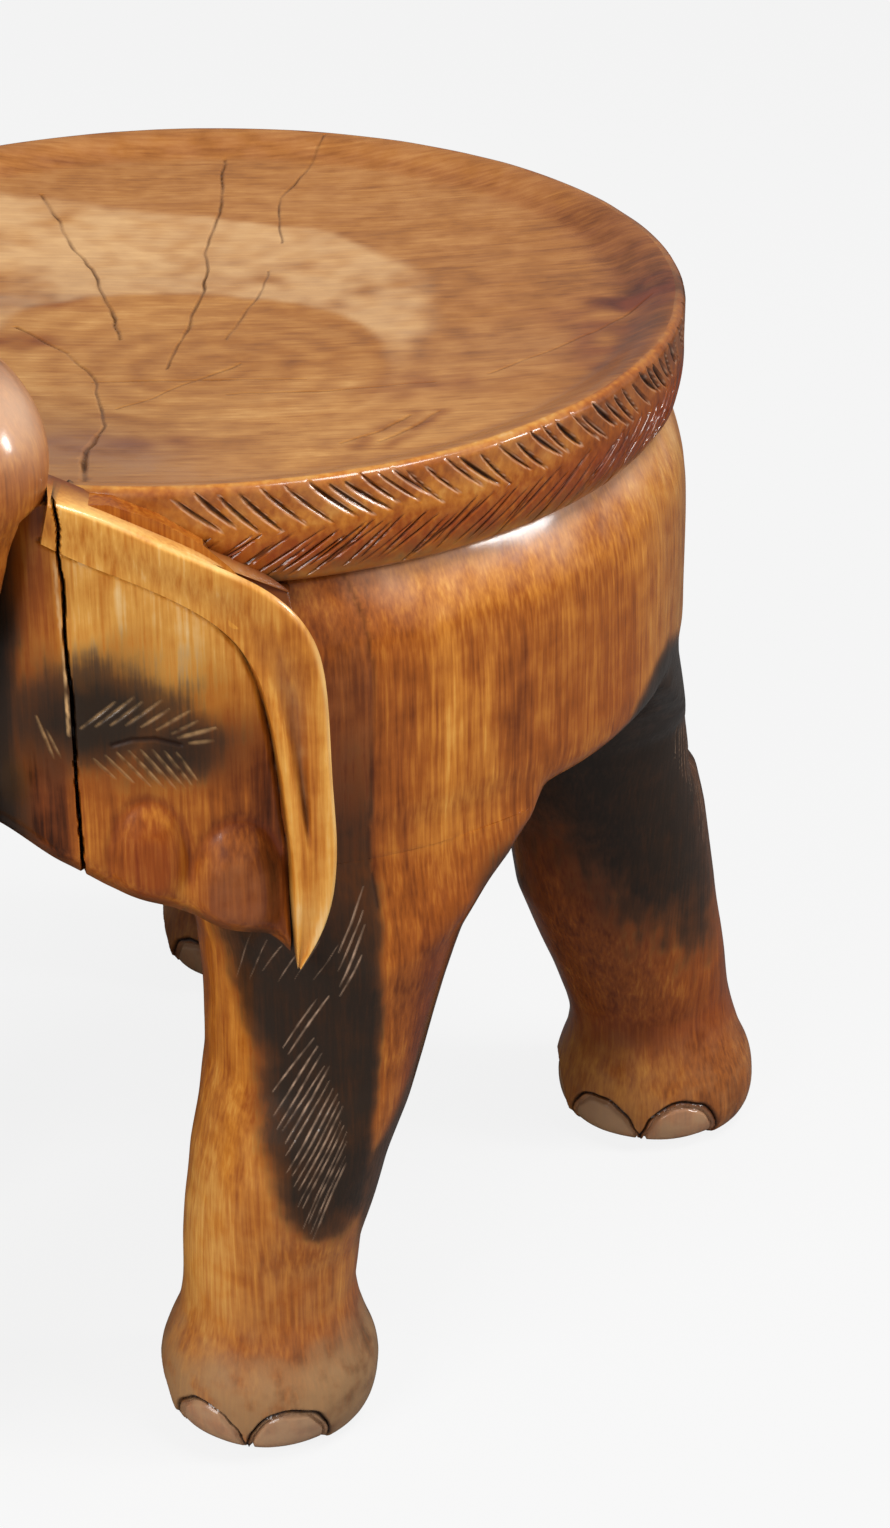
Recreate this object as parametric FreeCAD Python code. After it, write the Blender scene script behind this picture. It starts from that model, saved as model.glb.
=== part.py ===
import FreeCAD, Part
import math
import os

os.makedirs("parts", exist_ok=True)
V = FreeCAD.Vector

# Carved wooden stool in the form of an elephant, in millimetres, +Z up, the elephant facing -Y.
# Everything is set out from the axis of the round seat and from the floor.

# Seat
seat_radius = 190.0
seat_thickness = 39.0
lip_width = 13.0
lip_drop = 6.0
dish_depth = 9.0
rim_round = 3.0
band_undercut = 5.5
band_lower_height = 17.0

# Body drum
leg_height = 255.0
body_height = 110.0
body_proud = 2.0
shoulder_drop = 26.0
belly_round = 9.0

# Legs and feet: each place is its distance in from the body's side and from its front or back
sole_radius = 27.0
front_foot = (80.0, 87.0)
rear_foot = (80.0, 29.0)
front_foot_radius = 42.0
rear_foot_radius = 43.0
foot_bulge_height = 23.0
front_ankle_radius = 33.0
rear_ankle_radius = 35.0
ankle_height = 56.0
front_shin = (75.0, 91.0)
rear_shin = (86.0, 42.0)
front_shin_radius = 35.5
rear_shin_radius = 39.5
shin_height = 98.0
front_knee = (68.0, 108.0)
rear_knee = (87.0, 59.0)
knee_radius = 41.5
knee_drop = 95.0
front_thigh = (66.0, 117.0)
rear_thigh = (88.0, 77.0)
front_thigh_radius = 50.0
rear_thigh_radius = 45.0
thigh_drop = 43.0
front_hip = (65.0, 124.0)
rear_hip = (80.0, 84.0)
hip_radius = 72.0
hip_inset = 3.0
hip_flare = 0.14
hip_flare_drop = 60.0
toenail_width = 32.0
toenail_height = 18.0
toenail_proud = 1.5
toenail_spacing = 45.0
toenail_turn = 8.0

# Head block: its cheeks face forwards and outwards, a little proud of the seat
cheek_angle = 46.5
cheek_proud = 6.0
head_let_in = 64.0
head_depth = 69.0
jaw_front_drop = 84.0
jaw_rise = 14.0
jaw_sag = 3.0

# Ears: places along the cheek are measured from its middle, towards the back, and heights
# from the crease under the seat
ear_proud = 8.0
ear_crown = 43.0
ear_crown_along = -56.0
ear_crown_lip = 2.0
ear_width = 19.0
ear_rise = 6.0
ear_round = 20.0
ear_belly = 2.0
ear_corner_along = 36.0
ear_corner_drop = 35.0
ear_tip_along = 23.0
ear_tip_drop = 144.0
ear_tip_width = 1.0

# Forehead and trunk
bump_x = 44.0
bump_height = 52.0
bump_width = 110.0
bump_depth = 86.0
bump_tall = 90.0

# Sections down the forehead: distance in front of the head block, height above the crease,
# half width and half depth
forehead_sections = [
    (7.0, 87.0, 38.0, 15.0),
    (6.0, 78.0, 64.0, 27.0),
    (5.0, 65.0, 84.0, 36.0),
    (5.0, 48.0, 93.0, 41.0),
    (8.0, 25.0, 92.0, 45.0),
    (11.0, 3.0, 86.0, 47.0),
    (14.0, -20.0, 76.0, 48.0),
]

# Sections down the trunk, whose heights are shares of the way from its root to its curl:
# distance in front of the head block, share, tilt, half width and half depth
trunk_root_drop = 43.0
trunk_sections = [
    (17.0, 0.0, 3, 61.0, 47.0),
    (22.0, 0.118, 6, 50.0, 45.0),
    (30.0, 0.275, 8, 46.0, 41.0),
    (43.0, 0.525, 9, 43.0, 37.0),
    (55.0, 0.794, 7, 39.0, 32.0),
    (64.0, 1.0, 5, 35.0, 28.0),
]
trunk_end_rise = 28.0
curl_height = 90.0
curl_forward = 97.0
curl_radius = 30.0
curl_turn = 190.0
curl_rings = 7
curl_start = (32.0, 25.0)
curl_end = (16.0, 10.0)

# Tusks and tail
tusk_x = 66.0
tusk_drop = 73.0
tusk_radius = 10.0
tusk_tip_radius = 3.5
tusk_length = 92.0
tusk_seat = 6.0
tusk_direction = (0.05, -0.9, -0.42)
tail_width = 20.0
tail_thickness = 11.0
tail_top = 22.0
tail_length = 138.0
tuft_width = 30.0
tuft_neck = 35.0
tail_peg_drop = 55.0
tail_peg_showing = 3.0

# Joinery: loose tenons, each given as its length along the joint, thickness and height
glue_gap = 0.3
tenon_clearance = 0.1
seat_tenon = (44.0, 12.0, 46.0)
seat_tenon_circle = 112.0
leg_tenon = (56.0, 20.0, 72.0)
leg_tenon_in = 8.0
head_tenon = (36.0, 12.0, 54.0)
head_tenon_x = 58.0
head_tenon_rise = 35.0
trunk_tenon = (60.0, 14.0, 44.0)
trunk_tenon_rise = 49.0
ear_pin_radius = 3.0
ear_pin_length = 14.0
ear_pin_inset = 31.0
ear_pin_rise = 30.0
rear_pin_inset = 6.0
rear_pin_drop = 20.0
peg_radius = 7.0
peg_length = 20.0

# Carved rounds are worked in flats: sides round a leg or the trunk, and round a small piece
big_sides = 32
small_sides = 14
round_steps = 3

# Heights and distances that follow from the sizes above
crease_z = leg_height + body_height
rim_z = crease_z + seat_thickness
body_radius = seat_radius + body_proud
cheek_reach = seat_radius + cheek_proud
head_back = body_radius - head_let_in
head_front = head_back + head_depth
ear_corner_height = crease_z - ear_corner_drop
ear_tip_height = crease_z - ear_tip_drop
jaw_rear_height = ear_tip_height + jaw_rise
jaw_front_height = crease_z - jaw_front_drop


def mirrored(shape):
    return shape.mirror(V(0, 0, 0), V(1, 0, 0))


def turned(profile):
    # A solid turned about the seat's axis from its profile as radius and height
    points = [V(radius, 0, height) for radius, height in profile]
    face = Part.Face(Part.makePolygon(points + [points[0]]))
    return face.revolve(V(0, 0, 0), V(0, 0, 1), 360)


def rounded(start, end, bulge_out):
    # A quarter of an ellipse between two points of a profile, in short flats as a gouge leaves it
    points = []
    for step in range(1, round_steps):
        angle = math.radians(90 * step / round_steps)
        share_r = 1 - math.cos(angle)
        share_z = math.sin(angle)
        if bulge_out:
            share_r, share_z = math.sin(angle), 1 - math.cos(angle)
        radius = start[0] + (end[0] - start[0]) * share_r
        height = start[1] + (end[1] - start[1]) * share_z
        points.append((radius, height))
    return points


def line(a, b):
    return Part.LineSegment(a, b).toShape()


def arc(a, middle, b):
    return Part.Arc(a, middle, b).toShape()


def ring(centre, half_width, half_depth, tilt, sides):
    # Points round an ellipse, square to a line that leans forwards from straight down by tilt
    points = []
    slope = math.radians(tilt)
    for step in range(sides):
        angle = 2 * math.pi * (step + 0.5) / sides
        across = half_width * math.cos(angle)
        ahead = half_depth * math.sin(angle)
        points.append(centre + V(across, ahead * math.cos(slope), -ahead * math.sin(slope)))
    return points


def flat_face(points):
    return Part.Face(Part.makePolygon(points + [points[0]]))


def lofted(rings):
    # A closed solid through rings of points: flat facets where they can be, else in triangles
    faces = [flat_face(rings[0]), flat_face(rings[-1])]
    for lower, upper in zip(rings, rings[1:]):
        for step in range(len(lower)):
            after = (step + 1) % len(lower)
            a, b, c, d = lower[step], lower[after], upper[after], upper[step]
            normal = (b - a).cross(d - a).normalize()
            if abs(normal.dot(c - a)) < 1e-7:
                faces.append(flat_face([a, b, c, d]))
            else:
                faces.append(flat_face([a, b, c]))
                faces.append(flat_face([a, c, d]))
    solid = Part.makeSolid(Part.makeShell(faces))
    return solid if solid.Volume > 0 else solid.reversed()


def dome(centre, size_x, size_y, size_z):
    # A rounded boss in level rings, widest at its centre
    rings = []
    for share in (-0.6, -0.3, 0, 0.35, 0.62, 0.82, 0.95, 0.99):
        girth = math.sqrt(1 - share * share)
        place = centre + V(0, 0, share * size_z / 2)
        rings.append(ring(place, girth * size_x / 2, girth * size_y / 2, 0, big_sides))
    return lofted(rings)


def rod(centre, direction, radius, length):
    start = centre - direction * (length / 2)
    return Part.makeCylinder(radius, length, start, direction)


def tenon(centre, turn, tilt, size, gap):
    # A loose tenon: its thickness and length lie level until it is tilted to point forwards
    length, thickness, height = (value + 2 * gap for value in size)
    block = Part.makeBox(length, thickness, height, V(-length / 2, -thickness / 2, -height / 2))
    block.rotate(V(0, 0, 0), V(1, 0, 0), tilt)
    block.rotate(V(0, 0, 0), V(0, 0, 1), turn)
    block.translate(centre)
    return block


def tenons(places, size, gap):
    return [tenon(centre, turn, tilt, size, gap) for centre, turn, tilt in places]


def mortised(shape, places, size):
    for hole in tenons(places, size, tenon_clearance):
        shape = shape.cut(hole)
    return shape


def drilled(shape, rods, radius, length):
    # Holes for round pins, each given as its centre and direction
    for centre, direction in rods:
        hole = rod(centre, direction, radius + tenon_clearance, length + 2 * tenon_clearance)
        shape = shape.cut(hole)
    return shape


# The cheek's own plane: along runs towards the back of the ear, out is the way the cheek faces
cheek_turn = math.radians(cheek_angle)
cheek_out = V(math.cos(cheek_turn), -math.sin(cheek_turn), 0)
cheek_along = V(math.sin(cheek_turn), math.cos(cheek_turn), 0)


def on_cheek(along, height, out):
    point = cheek_along * along + cheek_out * out
    return V(point.x, point.y, height)


def cheek_prism(edges, depth):
    face = Part.Face(Part.Wire(edges))
    return face.extrude(cheek_out * depth)


def seat_shape():
    inner = seat_radius - lip_width
    dish_z = rim_z - lip_drop
    foot_radius = seat_radius - band_undercut
    waist_z = crease_z + band_lower_height
    foot = (foot_radius, crease_z)
    waist = (seat_radius, waist_z)
    side = (seat_radius, rim_z - rim_round)
    rim = (seat_radius - rim_round, rim_z)
    profile = [(0, crease_z), foot] + rounded(foot, waist, False) + [waist, side]
    profile += rounded(side, rim, False) + [rim, (inner, dish_z), (0, dish_z)]
    # The dish is a shallow bowl, its curve set by the inner edge and its depth
    bowl_radius = (inner * inner + dish_depth * dish_depth) / (2 * dish_depth)
    bowl = Part.makeSphere(bowl_radius)
    bowl.rotate(V(0, 0, 0), V(1, 0, 0), 90)
    bowl.translate(V(0, 0, dish_z - dish_depth + bowl_radius))
    bowl = bowl.common(Part.makeCylinder(inner, rim_z))
    return turned(profile).cut(bowl)


def body_shape():
    shoulder = (body_radius, crease_z - shoulder_drop)
    ledge = (seat_radius - band_undercut, crease_z)
    belly = (body_radius - belly_round, leg_height)
    side = (body_radius, leg_height + belly_round)
    profile = [(0, leg_height), belly] + rounded(belly, side, True) + [side, shoulder]
    profile += rounded(shoulder, ledge, False) + [ledge, (0, crease_z)]
    reach = 2 * body_radius
    front = Part.makeBox(2 * reach, reach, reach, V(-reach, -head_back - reach, leg_height - 1))
    return turned(profile).cut(front)


def leg_spot(inset, front):
    # A left leg's place from its insets: side is towards +X, and the front towards -Y
    along = body_radius - inset[1]
    return body_radius - inset[0], -along if front else along


def toenails(foot, foot_radius):
    # Half-round nails, a little prouder than the foot that they lie round
    rings = [
        ring(V(*foot, z), radius + toenail_proud, radius + toenail_proud, 0, big_sides)
        for z, radius in foot_profile(foot_radius)
    ]
    nail_radius = toenail_width / 2
    start = V(*foot, toenail_height - nail_radius)
    plugs = []
    for step in (-1, 0, 1):
        angle = math.radians(step * toenail_spacing + toenail_turn - 90)
        direction = V(math.cos(angle), math.sin(angle), 0)
        plugs.append(Part.makeCylinder(nail_radius, 2 * foot_radius, start, direction))
    return lofted(rings).common(Part.makeCompound(plugs))


def foot_profile(foot_radius):
    # Height and radius from the sole to the widest part of the foot
    middle_z = 0.4 * foot_bulge_height
    return [
        (0, sole_radius),
        (middle_z, 0.3 * sole_radius + 0.7 * foot_radius),
        (foot_bulge_height, foot_radius),
    ]


def leg_shape(front, insets, foot_radius, ankle_radius, shin_radius, thigh_radius):
    # Left leg: rings from the sole, over the foot's bulge and ankle, up to the hip
    foot, shin, knee, thigh, hip = (leg_spot(inset, front) for inset in insets)
    stations = [(z, radius, foot) for z, radius in foot_profile(foot_radius)]
    waist_z = 0.5 * (foot_bulge_height + ankle_height)
    stations += [
        (waist_z, 0.5 * (foot_radius + ankle_radius), foot),
        (ankle_height, ankle_radius, foot),
        (shin_height, shin_radius, shin),
        (leg_height - knee_drop, knee_radius, knee),
        (leg_height - thigh_drop, thigh_radius, thigh),
        (leg_height, hip_radius, hip),
    ]
    rings = [ring(V(*spot, z), radius, radius, 0, big_sides) for z, radius, spot in stations]
    leg = lofted(rings).fuse(toenails(foot, foot_radius))
    # The hip's outer side is worked flush with the body above it
    top = body_radius - hip_inset
    flared = top + hip_flare * hip_flare_drop
    flare_z = leg_height - hip_flare_drop
    wide = flared + flare_z
    outline = [(0, 0), (wide, 0), (flared, flare_z), (top, leg_height), (0, leg_height)]
    return leg.common(turned(outline))


def head_block():
    # Plan: a flat back on the body, two cheeks and a flat front for the forehead and trunk
    side = cheek_reach / math.cos(cheek_turn)
    slope = math.tan(cheek_turn)
    back_x = side - head_back * slope
    front_x = side - head_front * slope
    low_z = ear_tip_height - ear_round
    corners = [
        V(-back_x, -head_back, low_z),
        V(-front_x, -head_front, low_z),
        V(front_x, -head_front, low_z),
        V(back_x, -head_back, low_z),
    ]
    plan = Part.Face(Part.makePolygon(corners + [corners[0]]))
    block = plan.extrude(V(0, 0, rim_z - low_z))
    seat_room = Part.makeCylinder(seat_radius + glue_gap, seat_thickness + 1, V(0, 0, crease_z))
    block = block.cut(seat_room)
    wide = 3 * seat_radius
    half = block.common(Part.makeBox(wide, wide, rim_z, V(0, -wide, 0)))
    half = half.cut(cheek_prism(jaw_edges(wide), wide))
    half = half.cut(cheek_prism(ledge_edges(wide), wide))
    return half.fuse(mirrored(half)).removeSplitter()


def jaw_edges(wide):
    # Everything below the jaw line, which rises from the ear's tip to the mouth
    inner = 0.4 * cheek_reach
    tip = on_cheek(ear_tip_along, ear_tip_height, inner)
    behind = on_cheek(ear_tip_along + ear_tip_width, ear_tip_height, inner)
    rear = on_cheek(0, jaw_rear_height, inner)
    middle = on_cheek(ear_crown_along / 2, 0.7 * jaw_rear_height + 0.3 * jaw_front_height, inner)
    front = on_cheek(ear_crown_along * 1.5, jaw_front_height, inner)
    far = on_cheek(-wide, jaw_front_height, inner)
    far_low = on_cheek(-wide, 0, inner)
    behind_low = on_cheek(ear_tip_along + ear_tip_width, 0, inner)
    return [
        arc(tip, on_cheek(ear_tip_along / 2, jaw_rear_height - jaw_sag, inner), rear),
        arc(rear, middle, front),
        line(front, far),
        line(far, far_low),
        line(far_low, behind_low),
        line(behind_low, behind),
        line(behind, tip),
    ]


def ledge_edges(wide):
    # Everything above the head's sloping top edge behind the ear
    inner = 0.4 * cheek_reach
    high = rim_z + seat_thickness
    crown = crown_point(inner)
    corner = on_cheek(ear_corner_along, crease_z, inner)
    start = crown + V(0, 0, -ear_crown_lip)
    points = [
        start,
        corner,
        on_cheek(wide, crease_z, inner),
        on_cheek(wide, high, inner),
        on_cheek(ear_crown_along, high, inner),
        start,
    ]
    return Part.makePolygon(points).Edges


def crown_point(out):
    return on_cheek(ear_crown_along, crease_z + ear_crown, out)


def ear_shape(block):
    # A hooked flap: an arm under the seat's edge, a round corner and an arm down to the tip
    inner = 0.5 * cheek_reach
    crown = crown_point(inner)
    rear = ear_corner_along + ear_belly
    reach = ear_corner_along - ear_round
    round_z = crease_z - 0.5 * ear_round
    arm = ear_corner_height - ear_tip_height
    arm_z = ear_tip_height + 0.4 * arm
    shoulder = on_cheek(reach, crease_z + ear_rise, inner)
    outer_corner = on_cheek(ear_corner_along - 0.2 * ear_round, round_z, inner)
    side = on_cheek(ear_corner_along, ear_corner_height, inner)
    low = on_cheek(rear, arm_z, inner)
    tip = on_cheek(ear_tip_along, ear_tip_height, inner)
    heel = on_cheek(rear - 0.25 * ear_round, ear_tip_height + 0.16 * arm, inner)
    inside_low = on_cheek(ear_tip_along - ear_belly, arm_z, inner)
    inside = on_cheek(rear - 1.4 * ear_width, ear_corner_height, inner)
    inside_corner = on_cheek(reach - 0.6 * ear_width, round_z, inner)
    inside_shoulder = on_cheek(reach - 1.5 * ear_width, crease_z + 0.2 * ear_width, inner)
    root = on_cheek(ear_crown_along - 0.15 * ear_round, crown.z - ear_width, inner)
    edges = [
        line(crown, shoulder),
        arc(shoulder, outer_corner, side),
        line(side, low),
        arc(low, heel, tip),
        line(tip, inside_low),
        line(inside_low, inside),
        arc(inside, inside_corner, inside_shoulder),
        line(inside_shoulder, root),
        line(root, crown),
    ]
    ear = cheek_prism(edges, cheek_reach + ear_proud - inner)
    top = body_radius + glue_gap
    leg_side = Part.makeCone(top + hip_flare * leg_height, top, leg_height)
    body_side = Part.makeCylinder(top, rim_z, V(0, 0, leg_height))
    for tool in (leg_side, body_side, block):
        ear = ear.cut(tool)
    return ear


def forehead_bumps(gap):
    bumps = []
    for side in (-1, 1):
        centre = V(side * bump_x, -head_front, crease_z + bump_height)
        bumps.append(dome(centre, bump_width + 2 * gap, bump_depth + 2 * gap, bump_tall + 2 * gap))
    return bumps


def trunk_shape():
    rings = [
        ring(V(0, -head_front - forward, crease_z + rise), half_width, half_depth, 0, big_sides)
        for forward, rise, half_width, half_depth in forehead_sections
    ]
    root_z = crease_z - trunk_root_drop
    end_z = curl_height + trunk_end_rise
    for forward, share, tilt, half_width, half_depth in trunk_sections:
        place = V(0, -head_front - forward, root_z + (end_z - root_z) * share)
        rings.append(ring(place, half_width, half_depth, tilt, big_sides))
    for step in range(curl_rings):
        share = step / (curl_rings - 1)
        angle = math.radians(curl_turn * share)
        forward = curl_forward - curl_radius * math.cos(angle)
        height = curl_height - curl_radius * math.sin(angle)
        half_width = curl_start[0] + (curl_end[0] - curl_start[0]) * share
        half_depth = curl_start[1] + (curl_end[1] - curl_start[1]) * share
        place = V(0, -head_front - forward, height)
        rings.append(ring(place, half_width, half_depth, curl_turn * share, big_sides))
    trunk = lofted(rings)
    for bump in forehead_bumps(0):
        trunk = trunk.fuse(bump)
    wide = 2 * seat_radius
    behind = Part.makeBox(2 * wide, wide, rim_z, V(-wide, -head_front, 0))
    seat_room = Part.makeCylinder(seat_radius + glue_gap, rim_z + glue_gap)
    return trunk.cut(behind).cut(seat_room)


def tusk_line():
    root = V(tusk_x, -head_front, crease_z - tusk_drop)
    return root, V(*tusk_direction).normalize()


def tusk_shape():
    # A tapering shaft with a blunt tip, and a round peg that sits in the head
    root, direction = tusk_line()
    seated = root + direction * tusk_seat
    across = direction.cross(V(0, 0, 1)).normalize()
    upright = across.cross(direction)
    rings = []
    for share in (0, 0.5, 0.9, 1.0):
        radius = tusk_radius + (tusk_tip_radius - tusk_radius) * share ** 1.5
        if share == 1.0:
            radius = 0.4 * tusk_tip_radius
        middle = seated + direction * tusk_length * share
        flat = ring(V(0, 0, 0), radius, radius, 0, small_sides)
        rings.append([middle + across * point.x + upright * point.y for point in flat])
    start = root - direction * peg_length
    peg = Part.makeCylinder(peg_radius, (seated - start).Length, start, direction)
    return lofted(rings).fuse(peg)


def tail_shape():
    # A half-round strip down the rump that swells into a tuft
    back = body_radius + glue_gap
    top_z = crease_z - tail_top
    bottom_z = top_z - tail_length
    belly_z = bottom_z + tuft_width
    stations = [
        (top_z, 0.7 * tail_width, 0.6 * tail_thickness),
        (tail_peg_centre().z, tail_width, tail_thickness),
        (belly_z + tuft_neck, 0.7 * tail_width, tail_thickness),
        (belly_z, tuft_width, 1.3 * tail_thickness),
        (bottom_z, 0.25 * tuft_width, 0.5 * tail_thickness),
    ]
    rings = [
        ring(V(0, back, height), width / 2, thickness, 0, small_sides)
        for height, width, thickness in stations
    ]
    drum = Part.makeCylinder(back, rim_z)
    peg = rod(tail_peg_centre(), V(0, 1, 0), peg_radius, peg_length)
    return lofted(rings).cut(drum).fuse(peg)


def tail_peg_centre():
    return V(0, body_radius - peg_length / 2 + tail_peg_showing, crease_z - tail_peg_drop)


# Joints: loose tenons as centre, turn and tilt, and pins as centre and direction
seat_places = [
    (
        V(
            seat_tenon_circle * math.cos(math.radians(angle)),
            seat_tenon_circle * math.sin(math.radians(angle)),
            crease_z,
        ),
        angle + 90,
        0,
    )
    for angle in (45, 135, 225, 315)
]


def hip_place(hip, side):
    outward = V(*hip, 0).normalize()
    turn = math.degrees(math.atan2(outward.y, outward.x)) + 90
    centre = V(*hip, leg_height) - outward * leg_tenon_in
    if side < 0:
        centre = V(-centre.x, centre.y, centre.z)
        turn = -turn
    return centre, turn, 0


hips = (leg_spot(front_hip, True), leg_spot(rear_hip, False))
leg_places = [hip_place(hip, side) for hip in hips for side in (1, -1)]
head_tenon_z = jaw_front_height + head_tenon_rise
head_places = [(V(side * head_tenon_x, -head_back, head_tenon_z), 0, 90) for side in (1, -1)]
trunk_places = [(V(0, -head_front, jaw_front_height + trunk_tenon_rise), 0, 90)]


def ear_pin_places():
    # One pin at the ear's corner into the head block and one in its rear arm into the body
    upper_z = ear_corner_height + ear_pin_rise
    rear_z = ear_corner_height - rear_pin_drop
    upper = on_cheek(ear_corner_along - ear_pin_inset, upper_z, cheek_reach - ear_tip_width)
    rear = on_cheek(ear_corner_along - rear_pin_inset, rear_z, body_radius)
    return [(upper, cheek_out), (rear, cheek_out)]


def on_both_sides(shape, cut):
    return mirrored(cut(mirrored(cut(shape))))


def build():
    block = head_block()
    ear = ear_shape(block)
    seat = mortised(seat_shape(), seat_places, seat_tenon)
    body = mortised(body_shape(), seat_places, seat_tenon)
    body = mortised(body, leg_places, leg_tenon)
    body = mortised(body, head_places, head_tenon)
    block = mortised(block, head_places, head_tenon)
    block = mortised(block, trunk_places, trunk_tenon)
    trunk = mortised(trunk_shape(), trunk_places, trunk_tenon)
    body = drilled(body, [(tail_peg_centre(), V(0, 1, 0))], peg_radius, peg_length)

    jaw_room = Part.makeBox(
        2 * seat_radius,
        seat_radius,
        leg_height,
        V(0, -head_back + glue_gap - seat_radius, ear_tip_height - 1),
    )
    front_leg = leg_shape(
        True,
        (front_foot, front_shin, front_knee, front_thigh, front_hip),
        front_foot_radius,
        front_ankle_radius,
        front_shin_radius,
        front_thigh_radius,
    )
    front_leg = mortised(front_leg.cut(jaw_room), leg_places, leg_tenon)
    rear_leg = leg_shape(
        False,
        (rear_foot, rear_shin, rear_knee, rear_thigh, rear_hip),
        rear_foot_radius,
        rear_ankle_radius,
        rear_shin_radius,
        rear_thigh_radius,
    )
    rear_leg = mortised(rear_leg, leg_places, leg_tenon)

    root, direction = tusk_line()
    socket = Part.makeCylinder(
        peg_radius + tenon_clearance,
        2 * peg_length,
        root - direction * (peg_length + tenon_clearance),
        direction,
    )
    block = on_both_sides(block, lambda shape: shape.cut(socket))
    tusk = tusk_shape()

    pins = ear_pin_places()
    ear = drilled(ear, pins, ear_pin_radius, ear_pin_length)
    body = on_both_sides(body, lambda shape: drilled(shape, pins, ear_pin_radius, ear_pin_length))
    block = on_both_sides(block, lambda shape: drilled(shape, pins, ear_pin_radius, ear_pin_length))
    ear_pins = [rod(centre, direction, ear_pin_radius, ear_pin_length) for centre, direction in pins]
    ear_pins += [mirrored(pin) for pin in ear_pins]

    return {
        "seat": seat,
        "body": body,
        "head": block,
        "trunk": trunk,
        "left_ear": ear,
        "right_ear": mirrored(ear),
        "left_tusk": tusk,
        "right_tusk": mirrored(tusk),
        "front_left_leg": front_leg,
        "front_right_leg": mirrored(front_leg),
        "rear_left_leg": rear_leg,
        "rear_right_leg": mirrored(rear_leg),
        "tail": tail_shape(),
        "seat_tenons": Part.makeCompound(tenons(seat_places, seat_tenon, 0)),
        "leg_tenons": Part.makeCompound(tenons(leg_places, leg_tenon, 0)),
        "head_tenons": Part.makeCompound(tenons(head_places, head_tenon, 0)),
        "trunk_tenon": tenons(trunk_places, trunk_tenon, 0)[0],
        "ear_pins": Part.makeCompound(ear_pins),
    }


# The finished stool is centred on its own outer box, standing on the floor
shapes = build()
whole = Part.makeCompound(list(shapes.values())).optimalBoundingBox()
centring = V(-whole.Center.x, -whole.Center.y, -whole.ZMin)
print("centred by", centring)
for name, shape in shapes.items():
    shape.translate(centring)
    shape.exportStep("parts/" + name + ".step")
    box = shape.optimalBoundingBox()
    ends = (box.XMin, box.XMax, box.YMin, box.YMax, box.ZMin, box.ZMax)
    volume = round(shape.Volume / 1000, 1)
    print(name, len(shape.Solids), shape.isValid(), volume, "cm3", [round(end, 1) for end in ends])
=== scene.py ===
import math
import random

import bmesh
import bpy
import numpy as np
from mathutils import Matrix, Vector, noise


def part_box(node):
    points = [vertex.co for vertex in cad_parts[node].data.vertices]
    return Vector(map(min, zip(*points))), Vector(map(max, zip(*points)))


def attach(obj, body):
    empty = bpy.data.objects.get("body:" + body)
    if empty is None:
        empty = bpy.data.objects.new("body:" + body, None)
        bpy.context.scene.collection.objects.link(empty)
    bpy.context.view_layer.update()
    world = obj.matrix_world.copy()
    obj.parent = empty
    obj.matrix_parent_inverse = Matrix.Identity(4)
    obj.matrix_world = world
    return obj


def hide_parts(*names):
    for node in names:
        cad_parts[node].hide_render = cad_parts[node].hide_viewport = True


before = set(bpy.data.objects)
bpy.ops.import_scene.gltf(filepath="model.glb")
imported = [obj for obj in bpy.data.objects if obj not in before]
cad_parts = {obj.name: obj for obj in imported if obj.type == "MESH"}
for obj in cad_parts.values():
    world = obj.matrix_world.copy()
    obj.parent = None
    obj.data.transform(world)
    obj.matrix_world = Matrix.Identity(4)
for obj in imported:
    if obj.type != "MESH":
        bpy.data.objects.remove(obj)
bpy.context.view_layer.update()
scene = bpy.context.scene
print("frame loaded")

# The stool is set out in millimetres from the seat's axis and the floor, facing -Y, as a maker would;
# toFrame takes that to metres in the row frame.
seatLow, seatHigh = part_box("seat")
seatAxisY = (seatLow.y + seatHigh.y) / 2
toFrame = Matrix.Translation((0, seatAxisY, 0)) @ Matrix.Scale(0.001, 4)
random.seed(11)


# Helpers for meshes


def meshOf(bm, name):
    mesh = bpy.data.meshes.new(name)
    bm.to_mesh(mesh)
    bm.free()
    return mesh


def bmeshOf(mesh):
    bm = bmesh.new()
    bm.from_mesh(mesh)
    bpy.data.meshes.remove(mesh)
    return bm


def pointsOf(mesh):
    flat = np.empty(len(mesh.vertices) * 3)
    mesh.vertices.foreach_get("co", flat)
    return flat.reshape(-1, 3)


def facingOf(mesh):
    flat = np.empty(len(mesh.vertices) * 3, np.float32)
    mesh.vertex_normals.foreach_get("vector", flat)
    return flat.reshape(-1, 3).astype(float)


def movePoints(mesh, spots):
    mesh.vertices.foreach_set("co", spots.ravel())
    mesh.update()


def paintLayer(mesh, name, values):
    layer = mesh.attributes.get(name) or mesh.attributes.new(name, "FLOAT", "POINT")
    layer.data.foreach_set("value", np.asarray(values, np.float32))


def smoothNoise(spots, size, seed=0):
    # blobs of about this size in mm, from -1 to 1
    moved = spots / size + seed * 13.7
    return np.array([noise.noise(spot) for spot in moved.tolist()])


def bell(across, up):
    return np.exp(-(across * across + up * up))


def ramp(value, low, high):
    share = np.clip((value - low) / (high - low), 0, 1)
    return share * share * (3 - 2 * share)


def spotsOf(bm):
    return np.array([vert.co for vert in bm.verts])


def placeAll(bm, spots):
    for vert, spot in zip(bm.verts, spots):
        vert.co = spot


def refine(bm, wanted, cuts):
    # smaller faces where the carving is fine, wanted for each vertex in order
    bm.verts.index_update()
    edges = [edge for edge in bm.edges if wanted[edge.verts[0].index] and wanted[edge.verts[1].index]]
    bmesh.ops.subdivide_edges(bm, edges=edges, cuts=cuts, use_grid_fill=True)


def closed(bm):
    bmesh.ops.remove_doubles(bm, verts=bm.verts, dist=0.001)
    bmesh.ops.recalc_face_normals(bm, faces=bm.faces)


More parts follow.
